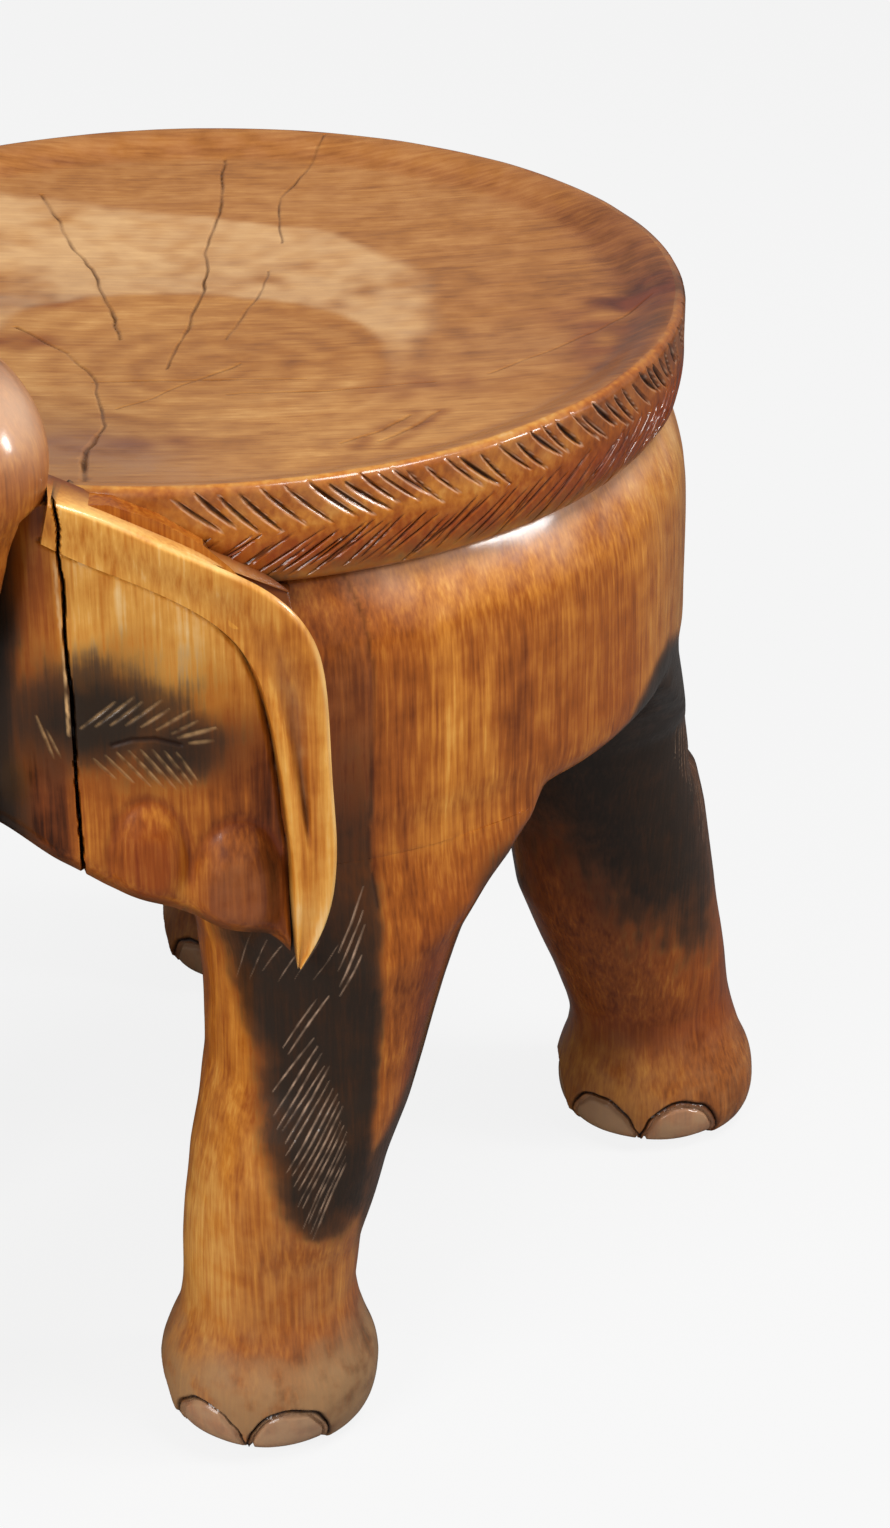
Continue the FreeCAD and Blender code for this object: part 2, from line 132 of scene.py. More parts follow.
def gridSheet(columns, rows):
    # a fine sheet to be bent into shape, with each point's share along and across it
    bm = bmesh.new()
    bmesh.ops.create_grid(bm, x_segments=columns, y_segments=rows, size=0.5)
    shares = spotsOf(bm)[:, :2] + 0.5
    return bm, shares[:, 0], shares[:, 1]


def spun(profile, steps):
    # a sheet bent right round the seat's axis, from its profile as radius and height
    table = np.array(profile, float)
    bm, around, along = gridSheet(steps, len(profile) - 1)
    row = np.rint(along * (len(profile) - 1)).astype(int)
    turn = 2 * math.pi * around
    radius = table[row, 0]
    placeAll(bm, np.stack([radius * np.cos(turn), radius * np.sin(turn), table[row, 1]], 1))
    closed(bm)
    return bm


def remeshed(mesh, voxel, smoothing):
    holder = bpy.data.objects.new("holder", mesh)
    scene.collection.objects.link(holder)
    modifier = holder.modifiers.new("remesh", "REMESH")
    modifier.mode = "VOXEL"
    modifier.voxel_size = voxel
    bpy.context.view_layer.update()
    made = bpy.data.meshes.new_from_object(holder.evaluated_get(bpy.context.evaluated_depsgraph_get()))
    bpy.data.objects.remove(holder)
    bm = bmeshOf(made)
    for _ in range(smoothing):
        bmesh.ops.smooth_vert(
            bm, verts=bm.verts, factor=0.5, use_axis_x=True, use_axis_y=True, use_axis_z=True,
        )
    return bm


def edgesIn(items):
    return [item for item in items if isinstance(item, bmesh.types.BMEdge)]


def drawOut(bm, edges):
    # a rim of edges extruded: its new points and the edges between them
    grown = bmesh.ops.extrude_edge_only(bm, edges=edges)["geom"]
    verts = [item for item in grown if isinstance(item, bmesh.types.BMVert)]
    ring = set(verts)
    return verts, [edge for edge in edgesIn(grown) if edge.verts[0] in ring and edge.verts[1] in ring]


def cutThrough(bm, point, normal, inner, outer):
    # cut along a plane and clear its inner or outer side; gives the edges of the cut
    cut = bmesh.ops.bisect_plane(
        bm, geom=bm.verts[:] + bm.edges[:] + bm.faces[:], plane_co=point, plane_no=normal,
        clear_inner=inner, clear_outer=outer,
    )
    return edgesIn(cut["geom_cut"])


def loft(bm, stations, sides):
    # a closed tube: each station is a matrix that places a ring of radius 1
    start = bmesh.ops.create_circle(bm, cap_ends=True, radius=1, segments=sides, matrix=stations[0])
    verts = start["verts"]
    edges = [edge for edge in bm.edges if edge.verts[0] in verts and edge.verts[1] in verts]
    for before, after in zip(stations, stations[1:]):
        verts, edges = drawOut(bm, edges)
        bmesh.ops.transform(bm, matrix=after @ before.inverted(), verts=verts)
    bmesh.ops.contextual_create(bm, geom=edges)
    return bm


def ringPlace(x, y, z, halfWidth, halfDepth, tilt=0):
    return (
        Matrix.Translation((x, y, z))
        @ Matrix.Rotation(math.radians(tilt), 4, "X")
        @ Matrix.Diagonal((halfWidth, halfDepth, 1, 1))
    )


def cutField(across, up, strokes, halfWidth, heel=1.0):
    # depth of a set of tapering cuts (u0, v0, u1, v1, size), steep on the side to the left of each
    # stroke and heel times as wide on its right
    depth = np.zeros(len(across))
    for u0, v0, u1, v1, size in strokes:
        margin = (1 + heel) * halfWidth * size
        near = np.nonzero(
            (across > min(u0, u1) - margin) & (across < max(u0, u1) + margin)
            & (up > min(v0, v1) - margin) & (up < max(v0, v1) + margin)
        )[0]
        du, dv = u1 - u0, v1 - v0
        length = math.hypot(du, dv)
        share = ((across[near] - u0) * du + (up[near] - v0) * dv) / length ** 2
        inside = np.clip(share, 0, 1)
        offset = ((across[near] - u0) * dv - (up[near] - v0) * du) / length
        beyond = (share - inside) * length
        away = np.hypot(np.where(offset > 0, offset / heel, offset), beyond)
        taper = np.sin(np.pi * (0.1 + 0.84 * inside)) ** 0.42
        cut = np.clip(1 - away / (halfWidth * size * taper), 0, 1) * taper * size
        depth[near] = np.maximum(depth[near], cut)
    return depth


def lineField(across, up, line, halfWidth):
    # nearness to a bent line, from 0 to 1, for a crack or a groove
    near = np.zeros(len(across))
    for (u0, v0), (u1, v1) in zip(line, line[1:]):
        du, dv = u1 - u0, v1 - v0
        share = np.clip(((across - u0) * du + (up - v0) * dv) / (du * du + dv * dv), 0, 1)
        away = np.hypot(across - u0 - share * du, up - v0 - share * dv)
        near = np.maximum(near, np.clip(1 - away / halfWidth, 0, 1))
    return near


def addPiece(name, mesh, material, node):
    mesh.transform(toFrame)
    mesh.shade_smooth()
    mesh.set_sharp_from_angle(angle=math.radians(55))
    for layer in ("tone", "red", "grey", "burnAndShade", "cut", "pale"):
        if layer not in mesh.attributes:
            paintLayer(mesh, layer, np.zeros(len(mesh.vertices)))
    mesh.materials.append(material)
    piece = bpy.data.objects.new(name, mesh)
    scene.collection.objects.link(piece)
    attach(piece, "root")
    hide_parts(node)
    print(name, len(mesh.polygons), "faces")
    return piece


# Materials
class Shade:
    # one socket of a material, on which Python sums add Math nodes
    def __init__(self, paint, socket):
        self.paint = paint
        self.socket = socket

    def sum(self, operation, first, second):
        return self.paint.add("ShaderNodeMath", {"operation": operation}, {0: first, 1: second})

    def __add__(self, other):
        return self.sum("ADD", self, other)

    def __radd__(self, other):
        return self.sum("ADD", other, self)

    def __sub__(self, other):
        return self.sum("SUBTRACT", self, other)

    def __rsub__(self, other):
        return self.sum("SUBTRACT", other, self)

    def __mul__(self, other):
        return self.sum("MULTIPLY", self, other)

    def __rmul__(self, other):
        return self.sum("MULTIPLY", other, self)

    def __pow__(self, other):
        return self.sum("POWER", self, other)


class Paint:
    # a material, and the one method that adds a node to it
    def __init__(self, name):
        self.material = bpy.data.materials.new(name)
        self.material.use_nodes = True
        self.tree = self.material.node_tree
        self.tree.nodes.clear()

    def add(self, kind, settings, inputs, output=0):
        node = self.tree.nodes.new(kind)
        for key, value in settings.items():
            if key == "stops":
                for number, (position, colour) in enumerate(value):
                    stops = node.color_ramp.elements
                    stop = stops[number] if number < 2 else stops.new(position)
                    stop.position = position
                    stop.color = colour
            else:
                setattr(node, key, value)
        for key, value in inputs.items():
            if isinstance(value, Shade):
                self.tree.links.new(value.socket, node.inputs[key])
            else:
                node.inputs[key].default_value = value
        return Shade(self, node.outputs[output]) if node.outputs else node

    def blobs(self, place, scale, detail=2.0, distortion=0.0):
        # noise, with its scale given per metre along each axis
        stretched = self.add("ShaderNodeMapping", {}, {"Vector": place, "Scale": scale})
        return self.add(
            "ShaderNodeTexNoise", {},
            {"Vector": stretched, "Scale": 1.0, "Detail": detail, "Distortion": distortion},
        )

    def between(self, value, low, high, start=0.0, end=1.0):
        # value from low to high eased to start to end
        return self.add(
            "ShaderNodeMapRange", {"interpolation_type": "SMOOTHSTEP"},
            {"Value": value, "From Min": low, "From Max": high, "To Min": start, "To Max": end},
        )

    def mix(self, factor, first, second, blend="MIX"):
        settings = {"data_type": "RGBA", "blend_type": blend}
        return self.add("ShaderNodeMix", settings, {0: factor, 6: first, 7: second}, 2)

    def layer(self, name):
        return self.add("ShaderNodeAttribute", {"attribute_name": name}, {}, 2)


def rgb(red, green, blue):
    # a colour as a picture shows it, in 0 to 255
    def straight(part):
        part = part / 255
        return part / 12.92 if part <= 0.04045 else ((part + 0.055) / 1.055) ** 2.4
    return (straight(red), straight(green), straight(blue), 1.0)


woodLook = {
    "deep": rgb(52, 22, 6),
    "redBrown": rgb(108, 50, 10),
    "brown": rgb(152, 80, 18),
    "amber": rgb(188, 116, 36),
    "gold": rgb(214, 152, 66),
    "cream": rgb(230, 190, 128),
    "stain": rgb(118, 38, 6),
    # the grey layer's colour: real greyness on the feet and nails, and painted shade on the seat behind the
    # left dome
    "dustAndShade": rgb(152, 118, 80),
    # the two darkest colours below serve the burn layer, which paints real scorching and also painted shade
    "midBurnAndShade": rgb(84, 48, 22),
    "darkBurnAndShade": rgb(35, 27, 20),
    # the cut colour: painted shade in the bottoms of cuts, grooves and cracks, and the real dark seam line
    # behind the ear
    "cut": rgb(38, 18, 8),
    # the pale colour: fresh-cut lines and torn fibres, and also painted highlights and a painted sheen
    "pale": rgb(214, 176, 146),
    "turn": 0.0,
    "broad": (16.0, 16.0, 7.0),
    "streak": (190.0, 190.0, 8.0),
    "fine": (760.0, 760.0, 36.0),
    "stripe": 0.38,
    "cloud": 0.36,
    "speck": 0.46,
    "patch": 0.5,
    "base": 0.45,
    "coat": 0.62,
    "shine": 0.15,
    "coatRough": 0.16,
    "rough": 0.42,
    "relief": 0.4,
}


def woodPaint(name, changes):
    # stained, lacquered wood: tone, red and grey shift its colour, and the burn layer darkens it, both as
    # real scorching and as painted shade in recesses and on hidden faces
    look = {**woodLook, **changes}
    paint = Paint(name)
    place = paint.add("ShaderNodeTexCoord", {}, {}, 3)
    grain = paint.add("ShaderNodeMapping", {}, {"Vector": place, "Rotation": (0.0, 0.0, look["turn"])})
    broad = paint.blobs(grain, look["broad"], 3.0, 0.4)
    streak = paint.blobs(grain, look["streak"], 4.0, 0.9)
    fine = paint.blobs(grain, look["fine"], 3.0)
    mottle = paint.blobs(place, (95.0, 95.0, 95.0), 5.0)
    tone = (broad - 0.5) * look["patch"] + (streak - 0.5) * look["stripe"]
    tone = tone + (fine - 0.5) * look["speck"] + (mottle - 0.5) * look["cloud"]
    tone = tone + paint.layer("tone") + look["base"]
    stops = [
        (0.0, look["deep"]), (1.0, look["cream"]), (0.24, look["redBrown"]), (0.44, look["brown"]),
        (0.62, look["amber"]), (0.8, look["gold"]),
    ]
    colour = paint.add("ShaderNodeValToRGB", {"stops": stops}, {"Fac": tone})
    blotch = paint.between(mottle + (broad - 0.5) * 0.6, 0.32, 0.62)
    colour = paint.mix(paint.layer("red") * (blotch * 0.5 + 0.5), colour, look["stain"])
    colour = paint.mix(paint.layer("grey") * (blotch * 0.6 + 0.4), colour, look["dustAndShade"])
    # the burn layer: real scorching together with painted shade, given ragged edges
    burnAndShadeMask = paint.layer("burnAndShade")
    ragged = (mottle - 0.5) * 0.4 + (streak - 0.5) * 0.3 + (fine - 0.5) * 0.4
    burnAndShadeMask = burnAndShadeMask + ragged * paint.between(burnAndShadeMask, 0.0, 0.25)
    colour = paint.mix(paint.between(burnAndShadeMask, 0.05, 0.66, 0.0, 0.92), colour, look["midBurnAndShade"])
    colour = paint.mix(paint.between(burnAndShadeMask, 0.3, 1.02, 0.0, 0.93), colour, look["darkBurnAndShade"])
    colour = paint.mix(paint.layer("pale"), colour, look["pale"])
    # painted shade in cuts, grooves and cracks, and the dark seam
    colour = paint.mix(paint.layer("cut"), colour, look["cut"])
    rough = paint.between(mottle + (fine - 0.5) * 0.5, 0.3, 0.7, look["rough"] - 0.08, look["rough"] + 0.12)
    relief = fine * 0.4 + streak * 0.5 + mottle * 0.3
    bump = paint.add(
        "ShaderNodeBump", {}, {"Strength": look["relief"], "Distance": 0.0006, "Height": relief},
    )
    surface = paint.add(
        "ShaderNodeBsdfPrincipled", {},
        {"Base Color": colour, "Roughness": rough, "Normal": bump, "Coat Weight": look["coat"],
         "Coat Roughness": look["coatRough"], "Specular IOR Level": look["shine"]},
    )
    paint.add("ShaderNodeOutputMaterial", {}, {"Surface": surface})
    return paint.material


# Body and legs: lofted legs and a turned drum, run together as one log and parted at the joint
bodyForm = {
    "jointHeight": 255.0,
    "profile": [
        (0, 256.5), (176, 256.5), (185.5, 259), (190, 265), (191.4, 275), (191.7, 300), (191.7, 318),
        (191.4, 329), (190.4, 339), (188.6, 346), (186.4, 352), (183.4, 358.6), (180.2, 364.9), (0, 364.9),
    ],
    "flatFront": -128.0,
    "steps": 128,
    "voxel": 2.0,
    "widest": 191.85,
}

legForm = {
    # height, radius, centre x, centre y
    "front": [
        (0, 30, 113, -104), (2, 35, 113, -104), (5, 38, 113, -104), (10, 40.2, 113, -104),
        (16, 41.6, 113, -104), (24, 42.3, 113, -104), (31, 41.6, 113, -104), (40, 38.2, 113, -104),
        (50, 34.4, 114, -104), (60, 33, 114, -104), (80, 34.1, 115, -102), (100, 36.1, 118, -100),
        (120, 37.8, 121, -97), (140, 39.5, 124, -92), (160, 41.3, 124, -84), (190, 45.5, 125, -79),
        (212, 50, 126, -75), (232, 58, 127, -71), (255, 72, 127, -68), (264, 74, 127, -68),
    ],
    "rear": [
        (0, 30, 112, 163), (2, 36, 112, 163), (5, 40, 112, 163), (10, 42.4, 112, 163),
        (16, 43.3, 112, 163), (24, 42.6, 112, 163), (31, 40.9, 112, 163), (40, 37.4, 112, 162),
        (50, 35.1, 111, 162), (60, 35.3, 109, 161), (80, 37.4, 108, 155), (100, 39.6, 106, 149),
        (120, 41.7, 104, 143), (160, 41.5, 105, 133), (190, 43, 104, 122), (212, 45, 104, 115),
        (232, 54, 107, 112), (255, 70, 111, 108), (264, 73, 112, 108),
    ],
    "footFront": (112.5, -104.0),
    "footRear": (112.0, 163.0),
    # how far the skin may stand from the seat's axis where a leg runs into the drum
    "topReach": 190.0, "flare": 0.14, "hip": 195.0, "hipSwell": 8.0, "pullFrom": 180.0,
    "ringStep": 4.0,
    "sides": 48,
    "jawGap": 220.0,
}


def legStations(rows):
    table = np.array(rows, float)
    heights = np.arange(0, table[-1, 0], legForm["ringStep"])
    heights = np.unique(np.concatenate([heights, table[:5, 0], table[-1:, 0]]))
    radius, x, y = (np.interp(heights, table[:, 0], table[:, column]) for column in (1, 2, 3))
    return zip(heights, radius, x, y)


def legReach(height):
    form = legForm
    if height < form["hip"]:
        return form["topReach"] + form["hipSwell"] + form["flare"] * (form["hip"] - height)
    return form["topReach"] + form["flare"] * (bodyForm["jointHeight"] - min(height, bodyForm["jointHeight"]))


def wholeLog():
    log = spun(bodyForm["profile"], bodyForm["steps"])
    rim = cutThrough(log, (0, bodyForm["flatFront"], 0), (0, -1, 0), False, True)
    bmesh.ops.holes_fill(log, edges=rim)
    for name in ("front", "rear"):
        for side in (1, -1):
            leg = bmesh.new()
            stations = [
                ringPlace(side * x, y, height, radius, radius)
                for height, radius, x, y in legStations(legForm[name])
            ]
            loft(leg, stations, legForm["sides"])
            for vert in leg.verts:
                reach = legReach(vert.co.z)
                away = math.hypot(vert.co.x, vert.co.y)
                if vert.co.z > legForm["pullFrom"] and away > reach:
                    vert.co.x *= reach / away
                    vert.co.y *= reach / away
                if vert.co.z > legForm["jawGap"]:
                    vert.co.y = max(vert.co.y, bodyForm["flatFront"] + 0.5)
            legMesh = meshOf(leg, "leg")
            log.from_mesh(legMesh)
            bpy.data.meshes.remove(legMesh)
    bmesh.ops.recalc_face_normals(log, faces=log.faces)
    return remeshed(meshOf(log, "log"), bodyForm["voxel"], 4)


def parted(whole, above):
    # the log's share above or below the joint, and the edges round its open end
    part = whole.copy()
    return part, cutThrough(part, (0, 0, bodyForm["jointHeight"]), (0, 0, 1), above, not above)


def legTurn(spots, rows):
    # turn in degrees round the leg's own axis, the same way on both sides
    table = np.array(rows, float)
    x, y, z = spots.T
    middleX, middleY = (np.interp(z, table[:, 0], table[:, column]) for column in (2, 3))
    return np.degrees(np.arctan2(y - middleY, np.abs(x) - middleX))


scorchForm = {
    # patch on the front legs: height, then its left and right edge as turns round the leg
    "patch": [
        (84, -10, 12), (99, -40, 10), (127, -62, -6), (157, -77, -18), (175, -82, -22), (200, -94, -28),
        (230, -106, -35), (262, -112, -38),
    ],
    # upper edge of the scorched arch between the legs, as distance along and height
    "arch": [(-64, 232), (-50, 243), (0, 258), (30, 272), (48, 284), (66, 288), (100, 272), (150, 240)],
    "seam": [(-97, 363), (-97.5, 320), (-98.5, 270), (-98, 236)],
}


def logLayers(spots, facing):
    # colours of the body and legs: stain, scorching, painted shade, a painted sheen on the shoulder and the
    # dark seam behind the ear
    x, y, z = spots.T
    wobble = 5 * smoothNoise(spots, 17.0, 6) + 2.5 * smoothNoise(spots, 6.0, 7)
    outside = ramp(np.abs(x), 100, 150)
    onLeg = ramp(262 - z, 0, 12)
    front = (y < 15).astype(float)
    turnFront = legTurn(spots, legForm["front"])
    turnRear = legTurn(spots, legForm["rear"])
    patch = np.array(scorchForm["patch"], float)
    left, right = (np.interp(z, patch[:, 0], patch[:, column]) for column in (1, 2))
    burnAndShade = ramp(turnFront - left + wobble, -16, 14) * ramp(right - turnFront + 0.5 * wobble, -6, 5)
    burnAndShade = 0.92 * burnAndShade * ramp(z + wobble, 84, 112) * (1 - ramp(z, 215, 285)) * front
    # a strip of body just behind each ear's rear edge, stained redder and greyer; below the ear its darkening
    # is partly real scorching and partly a painted shadow of the ear
    behindEar = ramp(-97.5 - y, -0.8, 1.0) * ramp(y, -128, -118) * outside
    burnAndShade = np.maximum(burnAndShade, 0.62 * behindEar * (1 - ramp(z, 240, 345)) * ramp(z, 212, 240))
    arch = np.array(scorchForm["arch"], float)
    below = np.interp(y, arch[:, 0], arch[:, 1]) - z + 0.5 * wobble
    archBurn = ramp(below, -2, 14) * ramp(y, -62, -46) * (1 - 0.35 * ramp(y + 2 * wobble, 150, 190))
    lowest = 80 + 44 * bell((turnRear + 90) / 38, 0) - 6 * bell((turnRear - 4) / 24, 0)
    brownSide = 1 - 0.42 * bell((turnRear + 95) / 38, 0) * ramp(215 - z, 0, 50)
    brownSide -= 0.36 * bell((turnRear - 30) / 18, 0)
    streaky = smoothNoise(spots * (1, 1, 0.18), 4.0, 27)
    aboveLowest = ramp(z + 2.6 * wobble + 16 * streaky - lowest, -14, 68)
    burnAndShade = np.maximum(burnAndShade, 0.95 * archBurn * brownSide * aboveLowest)
    # the front legs' side towards the arch, picked out by which way each surface faces, is darkened: partly
    # real scorching and partly painted shade
    start = 2 - 22 * bell((z - 118) / 24, 0)
    inner = ramp(facing[:, 1] + 0.02 * wobble, 0.3, 0.8)
    inner += 0.8 * ramp(turnFront + 0.4 * wobble, start, start + 20)
    burnAndShade = np.maximum(burnAndShade, 0.85 * np.minimum(inner, 1) * ramp(z, 56, 110) * (1 - ramp(z, 236, 256)) * front)
    rearRim = ramp(turnRear, 20, 60) * bell((z - 150) / 70, 0) * (1 - front)
    burnAndShade = np.maximum(burnAndShade, 0.5 * rearRim)
    onBody = 1 - onLeg
    tone = 0.1 * bell((y + 72) / 11, (z - 305) / 60) - 0.05 * bell((z - 232) / 34, (y + 20) / 40)
    tone += 0.13 * ramp(y, 15, 60) * onBody - 0.08 * bell((y + 42) / 13, (z - 300) / 30)
    tone += 0.27 * bell((turnFront + 98) / 38, (z - 95) / 62) * front * onLeg
    tone += 0.09 * bell((z - 352) / 12, 0) - 0.05 * behindEar * onBody
    tone += 0.06 * bell((y + 48) / 22, (z - 310) / 40) * onBody
    tone -= 0.2 * ramp(turnFront, -80, 10) * front * ramp(60 - z, 0, 20)
    arm = ramp(turnFront - right, 4, 34) * front * ramp(z, 50, 90) * (1 - ramp(z, 185, 262))
    tone -= 0.1 * (1 - front) * onLeg * ramp(z, 36, 64) + 0.12 * arm
    tone -= (0.02 + 0.08 * front) * ramp(60 - z, 0, 20)
    red = 0.16 * behindEar * onBody + 0.12 * bell((y + 90) / 9, (z - 300) / 90) * onBody + 0.6 * arm
    red += 0.4 * bell((z - 52) / 14, 0) * (1 - 0.5 * front)
    red += 0.25 * (1 - front) * onLeg * ramp(z, 40, 70)
    red += 0.25 * onBody * bell((z - 285) / 30, (y - 15) / 60)
    grey = (0.3 + 0.5 * front) * ramp(56 - z + 2.2 * wobble, -10, 30)
    grey = np.maximum(grey, 0.2 * front * onLeg * (1 - ramp(z, 100, 180)))
    grey += 0.12 * behindEar * onBody + 0.3 * ramp(y, 20, 75) * onBody
    # a pale pinkish band along the shoulder below the crease: a painted sheen
    pale = (0.28 + 0.05 * wobble) * ramp(z + 0.6 * wobble, 338, 363) * ramp(y, -104, -84)
    along = np.where(np.abs(facing[:, 2]) < 0.8, y, 0)
    seam = lineField(along + 0.08 * wobble, z, scorchForm["seam"], 0.9) * outside
    return {
        "tone": tone, "red": np.clip(red, 0, 0.8), "grey": np.clip(grey, 0, 0.85), "burnAndShade": burnAndShade,
        "cut": 0.6 * seam, "pale": np.clip(pale, 0, 0.6),
    }


def paintLayers(mesh, layers):
    for layer, values in layers.items():
        paintLayer(mesh, layer, values)


def makeBody(whole, material):
    part, rim = parted(whole, True)
    bmesh.ops.holes_fill(part, edges=rim)
    mesh = meshOf(part, "body")
    spots = pointsOf(mesh)
    facing = facingOf(mesh)
    layers = logLayers(spots, facing)
    worn = np.minimum(smoothNoise(spots, 34.0, 1) * 0.7, 0.2) - 0.7 * layers["cut"]
    spots = spots + facing * worn[:, None]
    away = np.hypot(spots[:, 0], spots[:, 1])
    spots[:, :2] *= np.minimum(1, bodyForm["widest"] / away)[:, None]
    movePoints(mesh, spots)
    paintLayers(mesh, layers)
    addPiece("body_drum", mesh, material, "body")


nailForm = {
    "turns": (-141.0, -89.5, -39.0),
    "halfWidth": 19.0,
    "height": 25.0,
    "footRadius": 41.5,
    "groove": 2.0,
    "sunk": 1.5,
}


def carveFoot(spots, centre):
    # recessed half-round nails: how far each point sinks, and where the dark line (painted shade in its
    # groove), bevel and nail lie
    x, y, z = spots.T
    turn = np.degrees(np.arctan2(y - centre[1], (x - centre[0]) * (1 if centre[0] > 0 else -1)))
    wander = 0.05 * smoothNoise(spots, 7.0, 8)
    line = np.zeros(len(x))
    bevel = np.zeros(len(x))
    nail = np.zeros(len(x))
    for middle in nailForm["turns"]:
        across = np.radians(turn - middle) * nailForm["footRadius"] / nailForm["halfWidth"]
        away = np.hypot(across, z / nailForm["height"]) + wander
        low = (z < 34) & (np.abs(turn - middle) < 60)
        line = np.maximum(line, np.clip(1 - np.abs(away - 1.0) / 0.055, 0, 1) * low)
        bevel = np.maximum(bevel, np.clip(1 - np.abs(away - 0.9) / 0.07, 0, 1) * low)
        nail = np.maximum(nail, ramp(0.98 - away, 0.0, 0.1) * low)
    sink = nailForm["groove"] * line + 1.3 * bevel * nailForm["sunk"] + nailForm["sunk"] * nail
    return sink, line, bevel, nail


hairForm = {
    # first and last of a row of cuts on the front leg, as turn, height, turn, height, then how many
    # there are and their size
    "rows": [
        ((-56, 185, -74, 158), (-24, 132, -31, 95), 16, 0.85),
        ((-56.7, 203, -70, 182), (-51.5, 202, -67, 177), 2, 0.85),
        ((-43, 246, -51, 224), (-40.5, 220, -47, 201), 4, 0.7),
        ((-52, 226, -60, 212), (-86, 226, -96, 206), 6, 0.45),
    ],
    "rearRows": [
        ((8, 226, 2, 196), (42, 196, 30, 148), 12, 0.5), ((24, 178, 12, 150), (56, 160, 44, 116), 10, 0.5),
    ],
    "degree": 0.66,
}


def hairStrokes(rows):
    strokes = []
    for first, last, count, size in rows:
        for step in range(count):
            share = step / (count - 1)
            turn0, z0, turn1, z1 = (a + (b - a) * share for a, b in zip(first, last))
            lift = random.uniform(-1.5, 2.0)
            slide = random.uniform(-0.6, 0.6)
            across = hairForm["degree"]
            strokes.append((
                (turn0 + slide) * across, z0 + lift, (turn1 + slide) * across, z1 + random.uniform(-3, 3),
                size * random.uniform(0.75, 1.15),
            ))
    return strokes


def makeLegs(whole, material):
    part, _ = parted(whole, False)
    for name, isFront, side in (
        ("front_left_leg", True, 1), ("front_right_leg", True, -1),
        ("rear_left_leg", False, 1), ("rear_right_leg", False, -1),
    ):
        leg = part.copy()
        others = [vert for vert in leg.verts if vert.co.x * side < 0 or (vert.co.y < 20) != isFront]
        bmesh.ops.delete(leg, geom=others, context="VERTS")
        bmesh.ops.holes_fill(leg, edges=[edge for edge in leg.edges if edge.is_boundary])
        rows = legForm["front" if isFront else "rear"]
        low = spotsOf(leg)[:, 2] < 33
        refine(leg, low, 2)
        spots = spotsOf(leg)
        turn, z = legTurn(spots, rows), spots[:, 2]
        if isFront:
            first, last = np.where(z > 200, -98, -80), np.where(z > 160, -34, -18)
            haired = (z > 92) & (z < 250) & (turn > first) & (turn < last)
        else:
            haired = (z > 112) & (z < 230) & (turn > 0) & (turn < 60)
        refine(leg, haired, 3)
        mesh = meshOf(leg, name)
        spots = pointsOf(mesh)
        facing = facingOf(mesh)
        footX, footY = legForm["footFront" if isFront else "footRear"]
        centre = (side * footX, footY)
        sink, line, bevel, nail = carveFoot(spots, centre)
        strokes = hairStrokes(hairForm["rows" if isFront else "rearRows"])
        turn = legTurn(spots, rows)
        outer = facing[:, 2] > -0.9
        hair = cutField(turn * hairForm["degree"], spots[:, 2], strokes, 0.6) * outer
        worn = np.minimum(smoothNoise(spots, 26.0, 2) * 0.6, 0.2)
        layers = logLayers(spots, facing)
        moved = spots + facing * (worn - sink - 0.6 * hair - 0.6 * layers["cut"])[:, None]
        moved[:, 2] = np.maximum(moved[:, 2], 0.0)
        movePoints(mesh, moved)
        # pale in the cut lines, broken up by painted glints, and a painted highlight on the nails' bevels
        glint = np.clip(0.62 + 0.8 * smoothNoise(spots, 4.0, 9), 0.2, 1)
        hairShine = np.maximum(np.clip(hair * 1.4, 0, 1) * glint * 0.75, 0.4 * bevel)
        layers["pale"] = np.maximum(layers["pale"], np.maximum(hairShine, 0.24 * nail))
        layers["grey"] = np.maximum(layers["grey"], 0.8 * nail)
        layers["red"] = np.maximum(layers["red"] * (1 - nail), 0.6 * bevel)
        # dark in the groove above each nail: painted shade
        layers["cut"] = np.maximum(layers["cut"], np.clip(line * 1.3, 0, 1))
        paintLayers(mesh, layers)
        addPiece(name + "_carved", mesh, material, name)


# Seat: a turned band with carved cuts round its edge, and a dished top
seatForm = {
    "rim": 404.0, "crease": 365.2, "radius": 190.0, "foot": 184.3, "waist": 382.0,
    "bandSteps": 1700, "leanFrom": 386.0, "lean": 0.0062, "dishSteps": 560, "dishRings": 96,
    "join": 186.0, "bowlReach": 176.0, "rimRound": 3.2,
    "centre": 389.0, "dishDepth": 9.0, "lipStart": 167.0, "lipEnd": 187.0,
    "upper": {"pitch": (5.2, 8.6), "run": (12.5, 16.5), "top": (400.2, 402.9), "fall": (12.0, 15.0)},
    "lower": {"pitch": (2.7, 4.9), "run": (15.0, 22.0), "top": (379.5, 385.5), "fall": (10.5, 14.5)},
    "smoothTurn": 38.0,
}


def seatHeight(radius):
    # the dished top, which turns up softly into the rim
    form = seatForm
    bowl = form["centre"] + form["dishDepth"] * (radius / form["bowlReach"]) ** 2.1
    lip = ramp(radius, form["lipStart"], form["lipEnd"])
    return bowl + (form["rim"] - bowl) * lip


